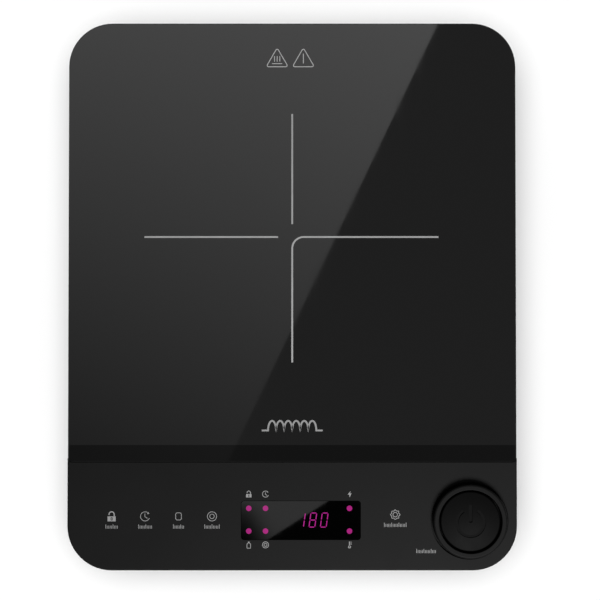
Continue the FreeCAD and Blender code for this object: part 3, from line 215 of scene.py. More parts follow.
def wound(name, colour, strand):
    """Bundled wire: fine diagonal strands, with painted shade in the furrows between them."""
    made, tree, shader = new_material(name)
    space = object_space(tree)
    wave = add(tree, "ShaderNodeTexWave", Scale=1 / strand, Distortion=1.5, Detail=1.0)
    wave.bands_direction = "DIAGONAL"
    tree.links.new(space, wave.inputs["Vector"])
    # painted shade: the furrows between strands, where the bump is lowest, take the darker colour
    mixed = blend_colours(tree, wave.outputs["Fac"], scaled(colour, 0.45), scaled(colour, 1.1), 0.1, 0.8)
    tree.links.new(mixed, shader.inputs["Base Color"])
    raise_bumps(tree, shader, wave.outputs["Fac"], 0.12)
    shader.inputs["Metallic"].default_value = 0.9
    shader.inputs["Roughness"].default_value = 0.32
    return made


def circuit(name, mask, track, cell):
    """A circuit board: solder mask over copper tracks and round pads."""
    made, tree, shader = new_material(name)
    space = object_space(tree)
    tracks = add(tree, "ShaderNodeTexBrick", Scale=1 / cell, Mortar_Size=0.035, Color1=(0, 0, 0, 1))
    tracks.inputs["Color2"].default_value = (0, 0, 0, 1)
    tracks.inputs["Mortar"].default_value = (1, 1, 1, 1)
    tree.links.new(space, tracks.inputs["Vector"])
    mixed = blend_colours(tree, tracks.outputs["Color"], mask, track, 0.3, 0.6)
    tree.links.new(mixed, shader.inputs["Base Color"])
    raise_bumps(tree, shader, tracks.outputs["Color"], 0.05)
    cloth = noise(tree, space, 0.6, 2)
    tree.links.new(spread(tree, cloth, 0.28, 0.42), shader.inputs["Roughness"])
    return made


def striped(name, colour, valley_shade_colour, pitch):
    """Parallel ribs along Y, as in a ribbon cable, with painted shade in the valleys between the ribs."""
    made, tree, shader = new_material(name)
    wave = add(tree, "ShaderNodeTexWave", Scale=0.5 / pitch)
    wave.bands_direction = "X"
    tree.links.new(object_space(tree), wave.inputs["Vector"])
    # painted shade: the valleys between the ribs, where the bump is lowest, take the darker colour
    mixed = blend_colours(tree, wave.outputs["Fac"], valley_shade_colour, colour, 0.05, 0.4)
    tree.links.new(mixed, shader.inputs["Base Color"])
    raise_bumps(tree, shader, wave.outputs["Fac"], 0.25)
    shader.inputs["Roughness"].default_value = 0.5
    return made


def flaked(name, colour, size):
    """Pressed flakes, as in mica sheet."""
    made, tree, shader = new_material(name)
    space = object_space(tree, (1, 1, 2))
    cells = add(tree, "ShaderNodeTexVoronoi", Scale=1 / size)
    tree.links.new(space, cells.inputs["Vector"])
    edge = cells.outputs["Distance"]
    mixed = blend_colours(tree, edge, scaled(colour, 1.15), scaled(colour, 0.75), 0.1, 0.8)
    tree.links.new(mixed, shader.inputs["Base Color"])
    raise_bumps(tree, shader, edge, 0.03)
    tree.links.new(spread(tree, edge, 0.3, 0.55), shader.inputs["Roughness"])
    return made


def polished(name, colour, roughness, haze, shine=0.5):
    """A polished black surface with a faint haze of fine wiping marks."""
    made, tree, shader = new_material(name)
    wiped = noise(tree, object_space(tree, (1, 0.12, 1)), 6, 4, 0.6)
    tree.links.new(spread(tree, wiped, roughness, roughness + haze), shader.inputs["Roughness"])
    cloud = noise(tree, object_space(tree), 90, 2)
    mixed = blend_colours(tree, cloud, scaled(colour, 0.97), scaled(colour, 1.03))
    tree.links.new(mixed, shader.inputs["Base Color"])
    shader.inputs["IOR"].default_value = 1.5
    shader.inputs["Specular IOR Level"].default_value = shine
    return made


def lit(name, colour, strength):
    """A lamp behind a tinted lens, a little uneven."""
    made, tree, shader = new_material(name)
    shader.inputs["Base Color"].default_value = (*scaled(colour, 0.15), 1)
    shader.inputs["Roughness"].default_value = 0.12
    shade = noise(tree, object_space(tree), 1.4, 2)
    glow = blend_colours(tree, shade, scaled(colour, 0.82), colour)
    tree.links.new(glow, shader.inputs["Emission Color"])
    shader.inputs["Emission Strength"].default_value = strength
    return made


GLASS = polished("black_glass", grey(0.0098), 0.02, 0.03)
BAND = polished("printed_band", grey(0.0006), 0.03, 0.03, 0.26)
WINDOW = polished("smoked_window", grey(0.0004), 0.02, 0.02)


def moulded(name, level, roughness, grain, depth, change, patch, shine):
    """Dark moulded plastic with little shine."""
    finish = {"Specular_IOR_Level": shine}
    return surface(name, grey(level), roughness, grain, depth, change, patch, **finish)


DECK = moulded("deck_plastic", 0.0051, 0.5, 0.35, 0.012, 0.05, 40, 0.043)
CASE = moulded("case_plastic", 0.007, 0.5, 0.5, 0.03, 0.1, 40, 0.12)
DIAL_BLACK = moulded("dial_plastic", 0.0034, 0.45, 0.3, 0.006, 0.05, 18, 0.04)
BUTTON_BLACK = moulded("button_plastic", 0.0011, 0.5, 0.3, 0.006, 0.05, 18, 0.03)
RUBBER = surface("foot_rubber", grey(0.02), 0.78, grain=0.5, depth=0.03)
SEALANT = surface("seal_silicone", grey(0.015), 0.45, grain=1.5, depth=0.04)


def ink(name, level, roughness, patch):
    """Pale printing ink, as bright as a display level from 0 to 255."""
    return surface(name, grey(linear(level)), roughness, grain=0.15, depth=0.004, change=0.05, patch=patch)


INK = ink("printed_ink", 112, 0.6, 6)
ZONE_INK = ink("zone_ink", 133, 0.55, 9)
CAUTION_INK = ink("caution_ink", 158, 0.6, 6)
LAMP = lit("lamp_pink", (linear(186), linear(34), linear(136)), 0.58)
DIGIT = lit("digit_pink", (linear(190), linear(36), linear(150)), 0.7)
STEEL = brushed("screw_steel", grey(0.5), 0.32, (6, 6, 0.5))
SPRING = brushed("spring_steel", grey(0.62), 0.22, (5, 5, 5))
NYLON = surface("white_nylon", (0.7, 0.69, 0.64), 0.5, grain=0.4, depth=0.01, Subsurface_Weight=0.1)
MOULDING = surface("black_moulding", (0.018, 0.018, 0.019), 0.5, grain=0.4, depth=0.02)

CAD_MATERIALS = {
    "glass_plate": GLASS,
    "display_window": WINDOW,
    "top_frame": DECK,
    "bottom_case": CASE,
    "dial_ring": DIAL_BLACK,
    "power_button": BUTTON_BLACK,
    "glass_seal": SEALANT,
    "rating_plate": brushed("plate_foil", (0.62, 0.62, 0.64), 0.35, (0.2, 5, 5)),
    "display_board": circuit("board_green", (0.01, 0.09, 0.035), (0.03, 0.2, 0.08), 4),
    "power_board": circuit("board_tan", (0.32, 0.19, 0.07), (0.45, 0.3, 0.13), 7),
    "digit_display": surface("digit_face", (0.03, 0.03, 0.032), 0.35, grain=0.3),
    "indicator_leds": surface("led_lens", (0.65, 0.1, 0.4), 0.15, grain=1.2, Transmission_Weight=0.3),
    "induction_coil": wound("litz_copper", (0.72, 0.3, 0.12), 0.7),
    "choke_winding": wound("choke_copper", (0.7, 0.3, 0.12), 1.2),
    "coil_terminals": brushed("brass_terminal", (0.75, 0.55, 0.25), 0.3, (5, 5, 1)),
    "ferrite_bars": surface("ferrite", (0.05, 0.05, 0.055), 0.6, grain=0.3, depth=0.03, patch=5),
    "choke_core": surface("core_coating", (0.12, 0.16, 0.1), 0.45, grain=0.8, depth=0.03),
    "mica_sheet": flaked("mica", (0.62, 0.55, 0.4), 3),
    "sensor_holder": surface("sensor_rubber", (0.75, 0.74, 0.7), 0.6, grain=0.5, depth=0.02),
    "thermistor": surface("sensor_glass", (0.5, 0.16, 0.08), 0.12, grain=0.8),
    "heat_sink": brushed("sink_aluminium", (0.72, 0.73, 0.74), 0.34, (0.15, 6, 6)),
    "film_capacitors": surface("capacitor_box", (0.6, 0.36, 0.03), 0.35, grain=0.8, depth=0.015),
    "electrolytic_capacitors": surface("capacitor_sleeve", (0.01, 0.02, 0.05), 0.25, grain=1.5),
    "aux_transformer": surface("transformer_tape", (0.55, 0.42, 0.06), 0.4, grain=0.8, depth=0.02),
    "mains_fuse": surface("fuse_glass", (0.6, 0.62, 0.62), 0.15, grain=1.5),
    "fan_stator": brushed("stator_steel", (0.35, 0.35, 0.36), 0.4, (1, 1, 6)),
    "ribbon_cable": striped("ribbon_pvc", (0.42, 0.42, 0.44), (0.2, 0.2, 0.21), 1.27),
    "cord_gland": RUBBER,
}


def group_materials():
    """Materials shared by several CAD nodes."""
    lead_red = surface("lead_red", (0.45, 0.03, 0.02), 0.45, grain=0.8, depth=0.02)
    lead_black = surface("lead_black", grey(0.02), 0.45, grain=0.8, depth=0.02)
    epoxy = surface("chip_epoxy", (0.014, 0.014, 0.015), 0.42, grain=0.25, depth=0.02)
    switches = ["encoder_body", "tact_switch", "tact_plunger", "buzzer"]
    shared = [
        (RUBBER, [name for name in nodes if name.startswith("foot_")]),
        (STEEL, [name for name in nodes if name.endswith("_screws")]),
        (SPRING, ["button_spring", "touch_springs", "coil_springs"]),
        (NYLON, ["light_shield", "encoder_rotor", "button_guide", "wire_connectors", "terminal_block"]),
        (MOULDING, [*switches, "fan_frame", "fan_rotor", "coil_former"]),
        (epoxy, ["touch_controller", "igbt", "bridge_rectifier"]),
        (lead_red, ["coil_lead_inner", "mains_leads", "fan_lead"]),
        (lead_black, ["coil_lead_outer", "sensor_lead"]),
    ]
    return {name: shade for shade, names in shared for name in names}


def paint_cad():
    """Gives each CAD node its material."""
    shades = {**CAD_MATERIALS, **group_materials()}
    for name, node in nodes.items():
        node.data.materials.clear()
        node.data.materials.append(shades[name])


# ---------------------------------------------------------------- thin printed shapes

INK_THICKNESS = 0.05 * MM
INK_SUNK = 0.02 * MM
SHARPEST_MITRE = 0.4


class Artwork:
    """Flat printed shapes, collected in one thin mesh that rides on the housing."""

    def __init__(self, name, material, slot, rise=INK_THICKNESS):
        self.mesh = bmesh.new()
        self.name, self.material, self.slot = name, material, slot
        self.low, self.high = TOP - INK_SUNK, TOP + rise

    def layer(self, points, level):
        """The corners of an outline at one level."""
        return [self.mesh.verts.new((x, y, level)) for x, y in points]

    def fill(self, points):
        """A filled outline, given anticlockwise."""
        low, high = self.layer(points, self.low), self.layer(points, self.high)
        self.mesh.faces.new(high)
        self.mesh.faces.new(low[::-1])
        for i in range(len(points)):
            j = (i + 1) % len(points)
            self.mesh.faces.new((low[i], low[j], high[j], high[i]))

    def stroke(self, points, width, closed=False):
        """A line of even width along points."""
        points = [Vector(point) for point in points]
        count = len(points)
        left, right = [], []
        for i, point in enumerate(points):
            before = points[i - 1] if i or closed else None
            after = points[(i + 1) % count] if i < count - 1 or closed else None
            ahead = (after - point).normalized() if after is not None else None
            behind = (point - before).normalized() if before is not None else None
            along = ((ahead or behind) + (behind or ahead)).normalized()
            across = Vector((-along.y, along.x))
            reach = width / 2 / max(SHARPEST_MITRE, along.dot(ahead or behind))
            left.append(point + across * reach)
            right.append(point - across * reach)
        rows = [self.layer(side, level) for side in (left, right) for level in (self.low, self.high)]
        left_low, left_high, right_low, right_high = rows
        for i in range(count if closed else count - 1):
            j = (i + 1) % count
            self.mesh.faces.new((right_high[i], right_high[j], left_high[j], left_high[i]))
            self.mesh.faces.new((left_low[i], left_low[j], right_low[j], right_low[i]))
            self.mesh.faces.new((left_high[i], left_high[j], left_low[j], left_low[i]))
            self.mesh.faces.new((right_low[i], right_low[j], right_high[j], right_high[i]))
        if not closed:
            self.mesh.faces.new((left_low[0], right_low[0], right_high[0], left_high[0]))
            self.mesh.faces.new((left_high[-1], right_high[-1], right_low[-1], left_low[-1]))

    def finish(self):
        """Makes the mesh into a piece of the housing."""
        bmesh.ops.recalc_face_normals(self.mesh, faces=self.mesh.faces)
        data = bpy.data.meshes.new(self.name)
        self.mesh.to_mesh(data)
        self.mesh.free()
        piece = bpy.data.objects.new(self.name, data)
        bpy.context.scene.collection.objects.link(piece)
        piece.data.materials.append(self.material)
        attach(piece, "housing")


def arc(x, y, radius, start, end, steps=24):
    """Points along an arc, angles in degrees."""
    turns = [math.radians(start + (end - start) * i / steps) for i in range(steps + 1)]
    return [(x + radius * math.cos(a), y + radius * math.sin(a)) for a in turns]


def ring(x, y, radius, steps=40):
    """Points around a circle."""
    return arc(x, y, radius, 0, 360, steps)[:-1]


def rounded_outline(corners, radius, steps=5):
    """An anticlockwise outline whose corners are rounded."""
    points = []
    places = [Vector(corner) for corner in corners]
    for i, corner in enumerate(places):
        into = (corner - places[i - 1]).normalized()
        out = (places[(i + 1) % len(places)] - corner).normalized()
        turn = math.acos(max(-1, min(1, into.dot(out))))
        reach = radius * math.tan(turn / 2)
        middle = corner - into * reach + Vector((-into.y, into.x)) * radius
        first = math.degrees(math.atan2(-into.x, into.y))
        points += arc(middle.x, middle.y, radius, first, first + math.degrees(turn), steps)
    return points


def box_outline(x, y, width, length, radius):
    """A rounded rectangle about a middle point."""
    left, right = x - width / 2, x + width / 2
    front, rear = y - length / 2, y + length / 2
    return rounded_outline([(left, front), (right, front), (right, rear), (left, rear)], radius)


# ---------------------------------------------------------------- marks on the glass

LINE_WIDTH = 1.1 * MM
FINE_LINE = 0.38 * MM
BAND_LENGTH = 10.8 * MM
BAND_MARGIN = 0.6 * MM
ZONE_BEND = 7.3 * MM
ORNAMENT_MARGIN = 20 * MM
CAUTION_MARGIN = 27.7 * MM


def glass_band():
    """The darker band that is printed along the glass plate's front edge."""
    band = Artwork("printed_band", BAND, "black_glass", rise=0.01 * MM)
    middle = GLASS_LOW.y + (BAND_MARGIN + BAND_LENGTH) / 2
    width = GLASS_HIGH.x - GLASS_LOW.x - 2 * BAND_MARGIN
    band.fill(box_outline(0, middle, width, BAND_LENGTH - BAND_MARGIN, 2 * BAND_MARGIN))
    band.finish()


def zone_mark():
    """Four lines that mark the cooking zone. The front and right ones join in an arc."""
    mark = Artwork("zone_mark", ZONE_INK, "mica")
    x, y = ZONE.x, ZONE.y
    front, rear = y - 79.7 * MM, y + 78.5 * MM
    left, right = x - 94 * MM, x + 93 * MM
    mark.stroke([(x, y + 8.2 * MM), (x, rear)], LINE_WIDTH)
    mark.stroke([(x - 9 * MM, y), (left, y)], LINE_WIDTH)
    corner = arc(x + ZONE_BEND, y - ZONE_BEND, ZONE_BEND, 180, 90)
    mark.stroke([(x, front), *corner, (right, y)], LINE_WIDTH)
    mark.finish()


def caution_marks():
    """Two small rounded triangles with plain straight bars inside."""
    mark = Artwork("caution_marks", CAUTION_INK, "mica")
    width, height = 14 * MM, 12.1 * MM
    left, right = -9.6 * MM, 7.1 * MM
    base = GLASS_HIGH.y - CAUTION_MARGIN
    for x in (left, right):
        corners = [(x - width / 2, base), (x + width / 2, base), (x, base + height)]
        mark.stroke(rounded_outline(corners, 0.9 * MM), 0.5 * MM, closed=True)
    for i in (-1, 0, 1):
        x = left + 1.7 * i * MM
        mark.stroke([(x, base + 3.3 * MM), (x, base + 6.8 * MM)], 0.45 * MM)
    mark.stroke([(left - 3.2 * MM, base + 2 * MM), (left + 3.2 * MM, base + 2 * MM)], 0.45 * MM)
    mark.stroke([(right, base + 2.2 * MM), (right, base + 8.4 * MM)], 0.5 * MM)
    mark.finish()


def coil_ornament():
    """A plain row of tall loops near the front of the glass, as a drawing of a coil."""
    mark = Artwork("coil_ornament", INK, "mica")
    loops, radius, tall, tail = 6, 2.55 * MM, 2.4, 4 * MM
    y = GLASS_LOW.y + ORNAMENT_MARGIN
    left = -loops * radius
    points = [(left - tail, y), (left, y)]
    for i in range(loops):
        middle = left + (2 * i + 1) * radius
        points += [(middle + a, y + b * tall) for a, b in arc(0, 0, radius, 180, 0, 16)[1:]]
    points.append((-left + tail, y))
    mark.stroke(points, LINE_WIDTH)
    mark.finish()


# ---------------------------------------------------------------- the spring under the power button


def return_spring():
    """A copy of the CAD spring on a mesh of its own, which rides on the housing in place of the CAD node.
    """
    shape = nodes["button_spring"]
    spring = bpy.data.objects.new("return_spring", shape.data.copy())
    bpy.context.scene.collection.objects.link(spring)
    spring.matrix_world = shape.matrix_world.copy()
    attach(spring, "housing")
    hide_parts("button_spring")
    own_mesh(spring)


# ---------------------------------------------------------------- icons on the control panel

# Each icon is drawn about a middle point, in shares of its size, mostly in lines of FINE_LINE.


def padlock(art, x, y, size):
    """An open padlock: a body with a keyhole and a raised shackle."""
    width, height = 0.82 * size, 0.5 * size
    low = y - size * 0.5
    side, hole = width * 0.38, width * 0.07
    for left in (x - width / 2, x + width / 2 - side):
        art.fill([(left, low), (left + side, low), (left + side, low + height), (left, low + height)])
    inner, outer = x - width / 2 + side, x + width / 2 - side
    for bottom, top in ((low, low + height * 0.2), (low + height * 0.8, low + height)):
        art.fill([(inner, bottom), (outer, bottom), (outer, top), (inner, top)])
    art.fill(box_outline(x, low + height * 0.5, (outer - inner) - 2 * hole, height * 0.28, hole / 2))
    radius = size * 0.26
    top = low + height + size * 0.2
    bow = arc(x, top, radius, 0, 180, 16)
    shackle = [(x + radius, low + height), *bow, (x - radius, top - size * 0.06)]
    art.stroke(shackle, size * 0.11)


def clock(art, x, y, size):
    """A clock face that is open on one side, with two hands and an arrow head."""
    radius = size * 0.46
    art.stroke(arc(x, y, radius, 52, 338, 30), FINE_LINE)
    turn = math.radians(48)
    tip = Vector((x + radius * math.cos(turn), y + radius * math.sin(turn)))
    head = size * 0.11
    art.fill([tip + Vector(corner) * head for corner in ((-1, -1), (1.1, -0.7), (-0.1, 1.1))])
    hub = (x - size * 0.02, y - size * 0.02)
    art.stroke([(hub[0], y + size * 0.28), hub, (x + size * 0.24, y - size * 0.2)], FINE_LINE)


def can(art, x, y, size):
    """A milk can: an outline with cut corners."""
    half, low, high = size * 0.4, y - size * 0.5, y + size * 0.5
    cut = size * 0.16
    left, right = x - half, x + half
    corners = [(left + cut, low), (right - cut, low), (right, low + cut), (right, high - cut)]
    corners += [(right - cut, high), (left + cut, high), (left, high - cut), (left, low + cut)]
    art.stroke(rounded_outline(corners, size * 0.05, 2), FINE_LINE, closed=True)


def bottle(art, x, y, size):
    """A small bottle with a narrow neck."""
    half, low, shoulder, neck = size * 0.27, y - size * 0.5, y + size * 0.12, size * 0.1
    corners = [(x - half, low), (x + half, low), (x + half, shoulder), (x + neck, y + size * 0.3)]
    corners += [(x - neck, y + size * 0.3), (x - half, shoulder)]
    art.stroke(rounded_outline(corners, size * 0.08, 3), FINE_LINE, closed=True)
    art.fill(box_outline(x, y + size * 0.42, neck * 2, size * 0.16, size * 0.02))


def target(art, x, y, size):
    """Two rings, one inside the other."""
    art.stroke(ring(x, y, size * 0.46), FINE_LINE, closed=True)
    art.stroke(ring(x, y, size * 0.225), FINE_LINE, closed=True)


def cog(art, x, y, size):
    """A ring with a scalloped edge."""
    scallops, steps = 8, 96
    points = []
    for i in range(steps):
        turn = 2 * math.pi * i / steps
        radius = size * (0.43 + 0.05 * math.cos(scallops * turn))
        points.append((x + radius * math.cos(turn), y + radius * math.sin(turn)))
    art.stroke(points, FINE_LINE, closed=True)
    art.stroke(ring(x, y, size * 0.225), FINE_LINE, closed=True)


def bolt(art, x, y, size):
    """A lightning bolt, for power."""
    shape = [(0.02, -0.5), (0.32, 0.1), (0.06, 0.1), (0.2, 0.5), (-0.28, -0.08), (-0.04, -0.08)]
    art.fill([(x + size * a, y + size * b) for a, b in shape])


def thermometer(art, x, y, size):
    """A bulb with a thin tube, for temperature."""
    art.stroke(ring(x, y - size * 0.3, size * 0.16, 20), size * 0.11, closed=True)
    art.stroke([(x, y - size * 0.15), (x, y + size * 0.5)], size * 0.13)
    for i in range(3):
        level = y + size * (0.08 + 0.17 * i)
        art.stroke([(x + size * 0.14, level), (x + size * 0.32, level)], size * 0.07)


def caption_bars(art, x, y, width):
    """A row of thin upright bars that stands in for a word, with every fifth one tall."""
    pitch, thick, tall, low = 0.92 * MM, 0.34 * MM, 2.7 * MM, 1.95 * MM
    count = round(width / pitch)
    for i in range(count):
        length = tall if i % 5 == 0 else low
        middle = x + pitch * (i - (count - 1) / 2)
        art.fill(box_outline(middle, y - (tall - length) / 2, thick, length, thick * 0.3))


KEY_ICON = 6.3 * MM
SMALL_ICON = 4.2 * MM
CAN_SHARE = 0.72
KEY_STEP = 21.2 * MM
KEY_HALF = 4 * MM
ICON_ROW = centre("touch_springs").y + 0.2 * MM
WORD_ROW = ICON_ROW - 6.4 * MM
COG_RISE = 1.1 * MM
WORD_WIDTHS = (7.9, 9.2, 7.1, 10.5, 14.4)
BUTTON_WORD_WIDTH = 12.9
LAMP_RADIUS = 1.8 * MM
LAMP_STEP = 10.6 * MM


def key_places():
    """The five touch keys, four at even steps on the left and one on the right of the window."""
    low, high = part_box("touch_springs")
    left, right = low.x + KEY_HALF, high.x - KEY_HALF
    return [left + KEY_STEP * i for i in range(4)] + [right]


def lamp_places():
    """The columns and rows of the round lamps behind the window."""
    low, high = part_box("indicator_leds")
    left, right = low.x + LAMP_RADIUS, high.x - LAMP_RADIUS
    return (left, left + LAMP_STEP, right), (low.y + LAMP_RADIUS, high.y - LAMP_RADIUS)


def panel_icons():
    """The icons and captions of the keys, the lamps and the button."""
    art = Artwork("panel_icons", INK, "mica")
    drawings = ((padlock, 1), (clock, 1), (can, CAN_SHARE), (target, 1), (cog, 1))
    for place, (draw, share), width in zip(key_places(), drawings, WORD_WIDTHS):
        rise = COG_RISE if draw is cog else 0
        draw(art, place, ICON_ROW + rise, KEY_ICON * share)
        caption_bars(art, place, WORD_ROW + rise, width * MM)
    columns = lamp_places()[0]
    rear, front = WINDOW_HIGH.y + 4.3 * MM, WINDOW_LOW.y - 3.2 * MM
    for x, upper, lower in zip(columns, (padlock, clock, bolt), (bottle, target, thermometer)):
        upper(art, x, rear, SMALL_ICON)
        lower(art, x, front, SMALL_ICON)
    caption_bars(art, DIAL.x - 27.6 * MM, DIAL.y - 19.2 * MM, BUTTON_WORD_WIDTH * MM)
    art.finish()


# ---------------------------------------------------------------- lit display


def lamps():
    """Six round lamps that glow through the window."""
    art = Artwork("indicator_glow", LAMP, "led_lens")
    columns, rows = lamp_places()
    for x in columns:
        for y in rows:
            art.fill(ring(x, y, LAMP_RADIUS - 0.05 * MM, 32))
    art.finish()


SEGMENTS = {"0": "abcdef", "1": "bc", "8": "abcdefg"}


def digits():
    """Three slanted seven-segment digits that read 180."""
    art = Artwork("display_digits", DIGIT, "led_lens")
    width, height, line, gap = 3.7 * MM, 8.9 * MM, 0.58 * MM, 0.25 * MM
    slant = math.tan(math.radians(8))
    pitch = 7.2 * MM
    module = centre("digit_display")
    first, middle = module.x + 3.6 * MM - pitch, module.y + 0.2 * MM
    half_w, half_h = width / 2, height / 2
    ends = {
        "a": ((-half_w, half_h), (half_w, half_h)),
        "b": ((half_w, half_h), (half_w, 0)),
        "c": ((half_w, 0), (half_w, -half_h)),
        "d": ((-half_w, -half_h), (half_w, -half_h)),
        "e": ((-half_w, 0), (-half_w, -half_h)),
        "f": ((-half_w, half_h), (-half_w, 0)),
        "g": ((-half_w, 0), (half_w, 0)),
    }
    for place, digit in enumerate("180"):
        for name in SEGMENTS[digit]:
            start, end = (Vector(point) for point in ends[name])
            along = (end - start).normalized()
            across = Vector((-along.y, along.x)) * line / 2
            tip, shoulder = along * gap, along * (gap + line / 2)
            shape = [start + tip, start + shoulder - across, end - shoulder - across]
            shape += [end - tip, end - shoulder + across, start + shoulder + across]
            art.fill([(first + pitch * place + p.x + slant * p.y, middle + p.y) for p in shape])
    art.finish()


# ---------------------------------------------------------------- floor, lights and reflections

FLOOR_RADIUS = 8
FLOOR_GAP = 0.05 * MM
REFLECTOR_HEIGHT = 0.45
GLASS_REFLECTANCE = 0.04
OVERHEAD_POWER, OVERHEAD_SPREAD, OVERHEAD_LEAN = 3.05, math.radians(50), math.radians(-2)
KEY_PLACE, KEY_AIM = (0.17, -0.5, 0.75), (0.04, -0.06, TOP)
KEY_SIZE, KEY_POWER = 0.3, 11
WORLD_LIGHT, BACKDROP_LIGHT = 0.25, 0.95


def staged(name, data, material=None):
    """A thing of the studio, which isn't part of the object."""
    made = bpy.data.objects.new(name, data)
    bpy.context.scene.collection.objects.link(made)
    if material is not None:
        data.materials.append(material)
    return made


def make_floor():
    """A pale round floor, a hair below the feet."""
    made, tree, shader = new_material("floor_white")
    patches = noise(tree, object_space(tree), 400, 2)
    tree.links.new(blend_colours(tree, patches, grey(0.86), grey(0.88)), shader.inputs["Base Color"])
    shader.inputs["Roughness"].default_value = 0.9
    shader.inputs["Specular IOR Level"].default_value = 0.1
    sheet = bmesh.new()
    bmesh.ops.create_circle(sheet, cap_ends=True, radius=FLOOR_RADIUS, segments=64)
    data = bpy.data.meshes.new("floor")
    sheet.to_mesh(data)
    sheet.free()
    floor = staged("floor", data, made)
    floor.location.z = cad_low.z - FLOOR_GAP
    return floor


def reflector(name, columns, rows, glow):
    """A glowing sheet overhead, given by what it shows on the flat top of the object.

    columns and rows are shares from 0 to 1, and glow(u, v) gives a place on the top and its light."""
    eye = bpy.context.scene.camera.location
    share = REFLECTOR_HEIGHT / (eye.z - TOP)
    sheet = bmesh.new()
    layer = sheet.verts.layers.float.new("glow")
    grid = []
    for v in rows:
        line = []
        for u in columns:
            x, y, light = glow(u, v)
            place = (x + (x - eye.x) * share, y + (y - eye.y) * share, TOP + REFLECTOR_HEIGHT)
            vertex = sheet.verts.new(place)
            vertex[layer] = light / GLASS_REFLECTANCE
            line.append(vertex)
        grid.append(line)
    for low, high in zip(grid, grid[1:]):
        for i in range(len(low) - 1):
            sheet.faces.new((low[i], low[i + 1], high[i + 1], high[i]))
    data = bpy.data.meshes.new(name)
    sheet.to_mesh(data)
    sheet.free()
    made = bpy.data.materials.new(name)
    made.use_nodes = True
    tree = made.node_tree
    tree.nodes.clear()
    source = add(tree, "ShaderNodeAttribute", attribute_name="glow")
    emission = add(tree, "ShaderNodeEmission")
    output = add(tree, "ShaderNodeOutputMaterial")
    tree.links.new(source.outputs["Fac"], emission.inputs["Strength"])
    tree.links.new(emission.outputs["Emission"], output.inputs["Surface"])
    panel = staged(name, data, made)
    panel.visible_camera = False
    panel.visible_diffuse = False
    panel.visible_shadow = False
    panel.visible_transmission = False


def shares(count):
    """Even steps from 0 to 1."""
    return [i / count for i in range(count + 1)]


GLASS_TONE = linear(31)
DARK_LIGHT = linear(27)


def across_and_along(x, y):
    """How far a place lies across and along the glass, from 0 at the left and the front to 1."""
    size = GLASS_HIGH - GLASS_LOW
    return (x - GLASS_LOW.x) / size.x, (y - GLASS_LOW.y) / size.y


def glass_reflectors():
    """The bright and the dark half of the reflection in the glass, which meet on a slanted line."""
    width = GLASS_HIGH.x - GLASS_LOW.x
    front, rear = GLASS_LOW.y - 1 * MM, GLASS_HIGH.y + 40 * MM
    outside = 60 * MM

    def meet(y):
        return GLASS_LOW.x + width * (0.357 + 0.47 * across_and_along(0, y)[1])

    def bright(u, v):
        y = front + (rear - front) * v
        left = GLASS_LOW.x - outside
        x = left + (meet(y) - left) * u
        across, along = across_and_along(x, y)
        rise = max(0, along - 0.03)
        level = 31.5 + 35 * rise + (16 - 8 * rise**2) * max(0, across)
        return x, y, linear(level) - GLASS_TONE + DARK_LIGHT

    def dark(u, v):
        y = front + (rear - front) * v
        right = GLASS_HIGH.x + outside
        return meet(y) + (right - meet(y)) * u, y, DARK_LIGHT

    reflector("bright_reflector", shares(24), shares(24), bright)
    reflector("dark_reflector", (0, 1), (0, 1), dark)


def window_reflectors():
    """The soft reflection in the display window: grey on the left, black on the right."""
    width, length = WINDOW_HIGH.x - WINDOW_LOW.x, WINDOW_HIGH.y - WINDOW_LOW.y
    margin = 3 * MM
    front, rear = WINDOW_LOW.y - margin, WINDOW_HIGH.y + margin
    meet_front = WINDOW_LOW.x + 0.22 * width
    slope = 0.51 * width / length

    def meet(y):
        return meet_front + slope * (y - WINDOW_LOW.y)

    def pale(u, v):
        y = front + (rear - front) * v
        left = WINDOW_LOW.x - margin
        x = left + (meet(y) - left) * u
        rise = min(1, max(0, (y - WINDOW_LOW.y) / length))
        across = max(0, x - WINDOW_LOW.x) / ((15 - 8 * rise) * MM)
        return x, y, linear(47 * (1 - (1 - rise) ** 0.7 * math.exp(-across**2)))

    def black(u, v):
        y = front + (rear - front) * v
        right = WINDOW_HIGH.x + margin
        return meet(y) + (right - meet(y)) * u, y, 0

    reflector("window_grey_reflector", shares(24), shares(20), pale)
    reflector("window_black_reflector", (0, 1), (0, 1), black)


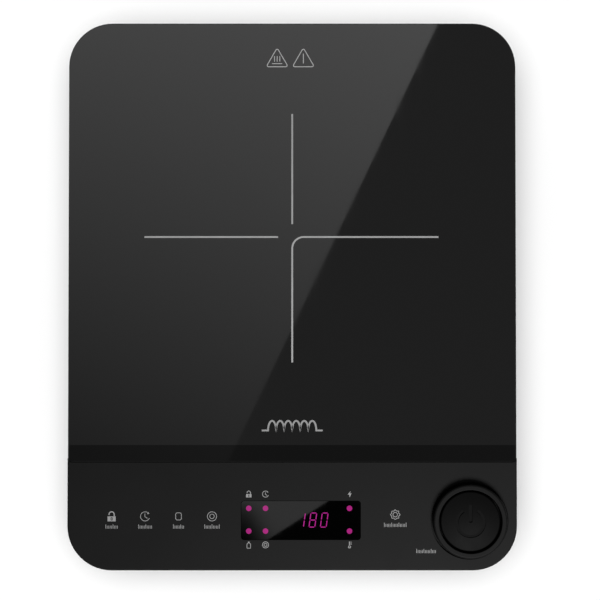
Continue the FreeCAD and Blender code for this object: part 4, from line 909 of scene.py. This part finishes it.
def overhead_light():
    """Even light from a wide disc of sky, which leaves a soft halo of shade on the floor."""
    data = bpy.data.lights.new("overhead", "SUN")
    data.energy = OVERHEAD_POWER
    data.angle = OVERHEAD_SPREAD
    made = staged("overhead", data)
    made.rotation_euler = (0, OVERHEAD_LEAN, 0)
    made.visible_glossy = False
    return made


def key_light():
    """A round soft light in front of the object."""
    data = bpy.data.lights.new("front_key", "AREA")
    data.shape = "DISK"
    data.size = KEY_SIZE
    data.energy = KEY_POWER
    made = staged("front_key", data)
    made.location = KEY_PLACE
    made.rotation_euler = (Vector(KEY_AIM) - Vector(KEY_PLACE)).to_track_quat("-Z", "Y").to_euler()
    made.visible_camera = False
    return made


def link_light(light, things, state):
    """Lets a light fall on these things only (INCLUDE) or on everything else (EXCLUDE)."""
    receivers = bpy.data.collections.new(f"{light.name}_receivers")
    for thing in things:
        receivers.objects.link(thing)
    for linked in receivers.collection_objects:
        linked.light_linking.link_state = state
    light.light_linking.receiver_collection = receivers


def make_world():
    """Dim studio walls for light and reflections, and a pale backdrop for the camera."""
    world = bpy.data.worlds.new("studio")
    bpy.context.scene.world = world
    world.use_nodes = True
    tree = world.node_tree
    background = tree.nodes["Background"]
    path = add(tree, "ShaderNodeLightPath")
    strength = add(tree, "ShaderNodeMapRange", To_Min=WORLD_LIGHT, To_Max=BACKDROP_LIGHT)
    tree.links.new(path.outputs["Is Camera Ray"], strength.inputs["Value"])
    tree.links.new(strength.outputs["Result"], background.inputs["Strength"])
    background.inputs["Color"].default_value = (1, 1, 1, 1)


def make_studio():
    """The floor, the walls' light, the sheets that the gloss reflects, and two lights."""
    floor = make_floor()
    make_world()
    glass_reflectors()
    window_reflectors()
    link_light(overhead_light(), [floor], "INCLUDE")
    link_light(key_light(), [floor, nodes["glass_plate"]], "EXCLUDE")
    bpy.context.scene.view_settings.view_transform = "Standard"


make_camera()
make_studio()
paint_cad()
return_spring()
glass_band()
zone_mark()
caution_marks()
coil_ornament()
panel_icons()
lamps()
digits()
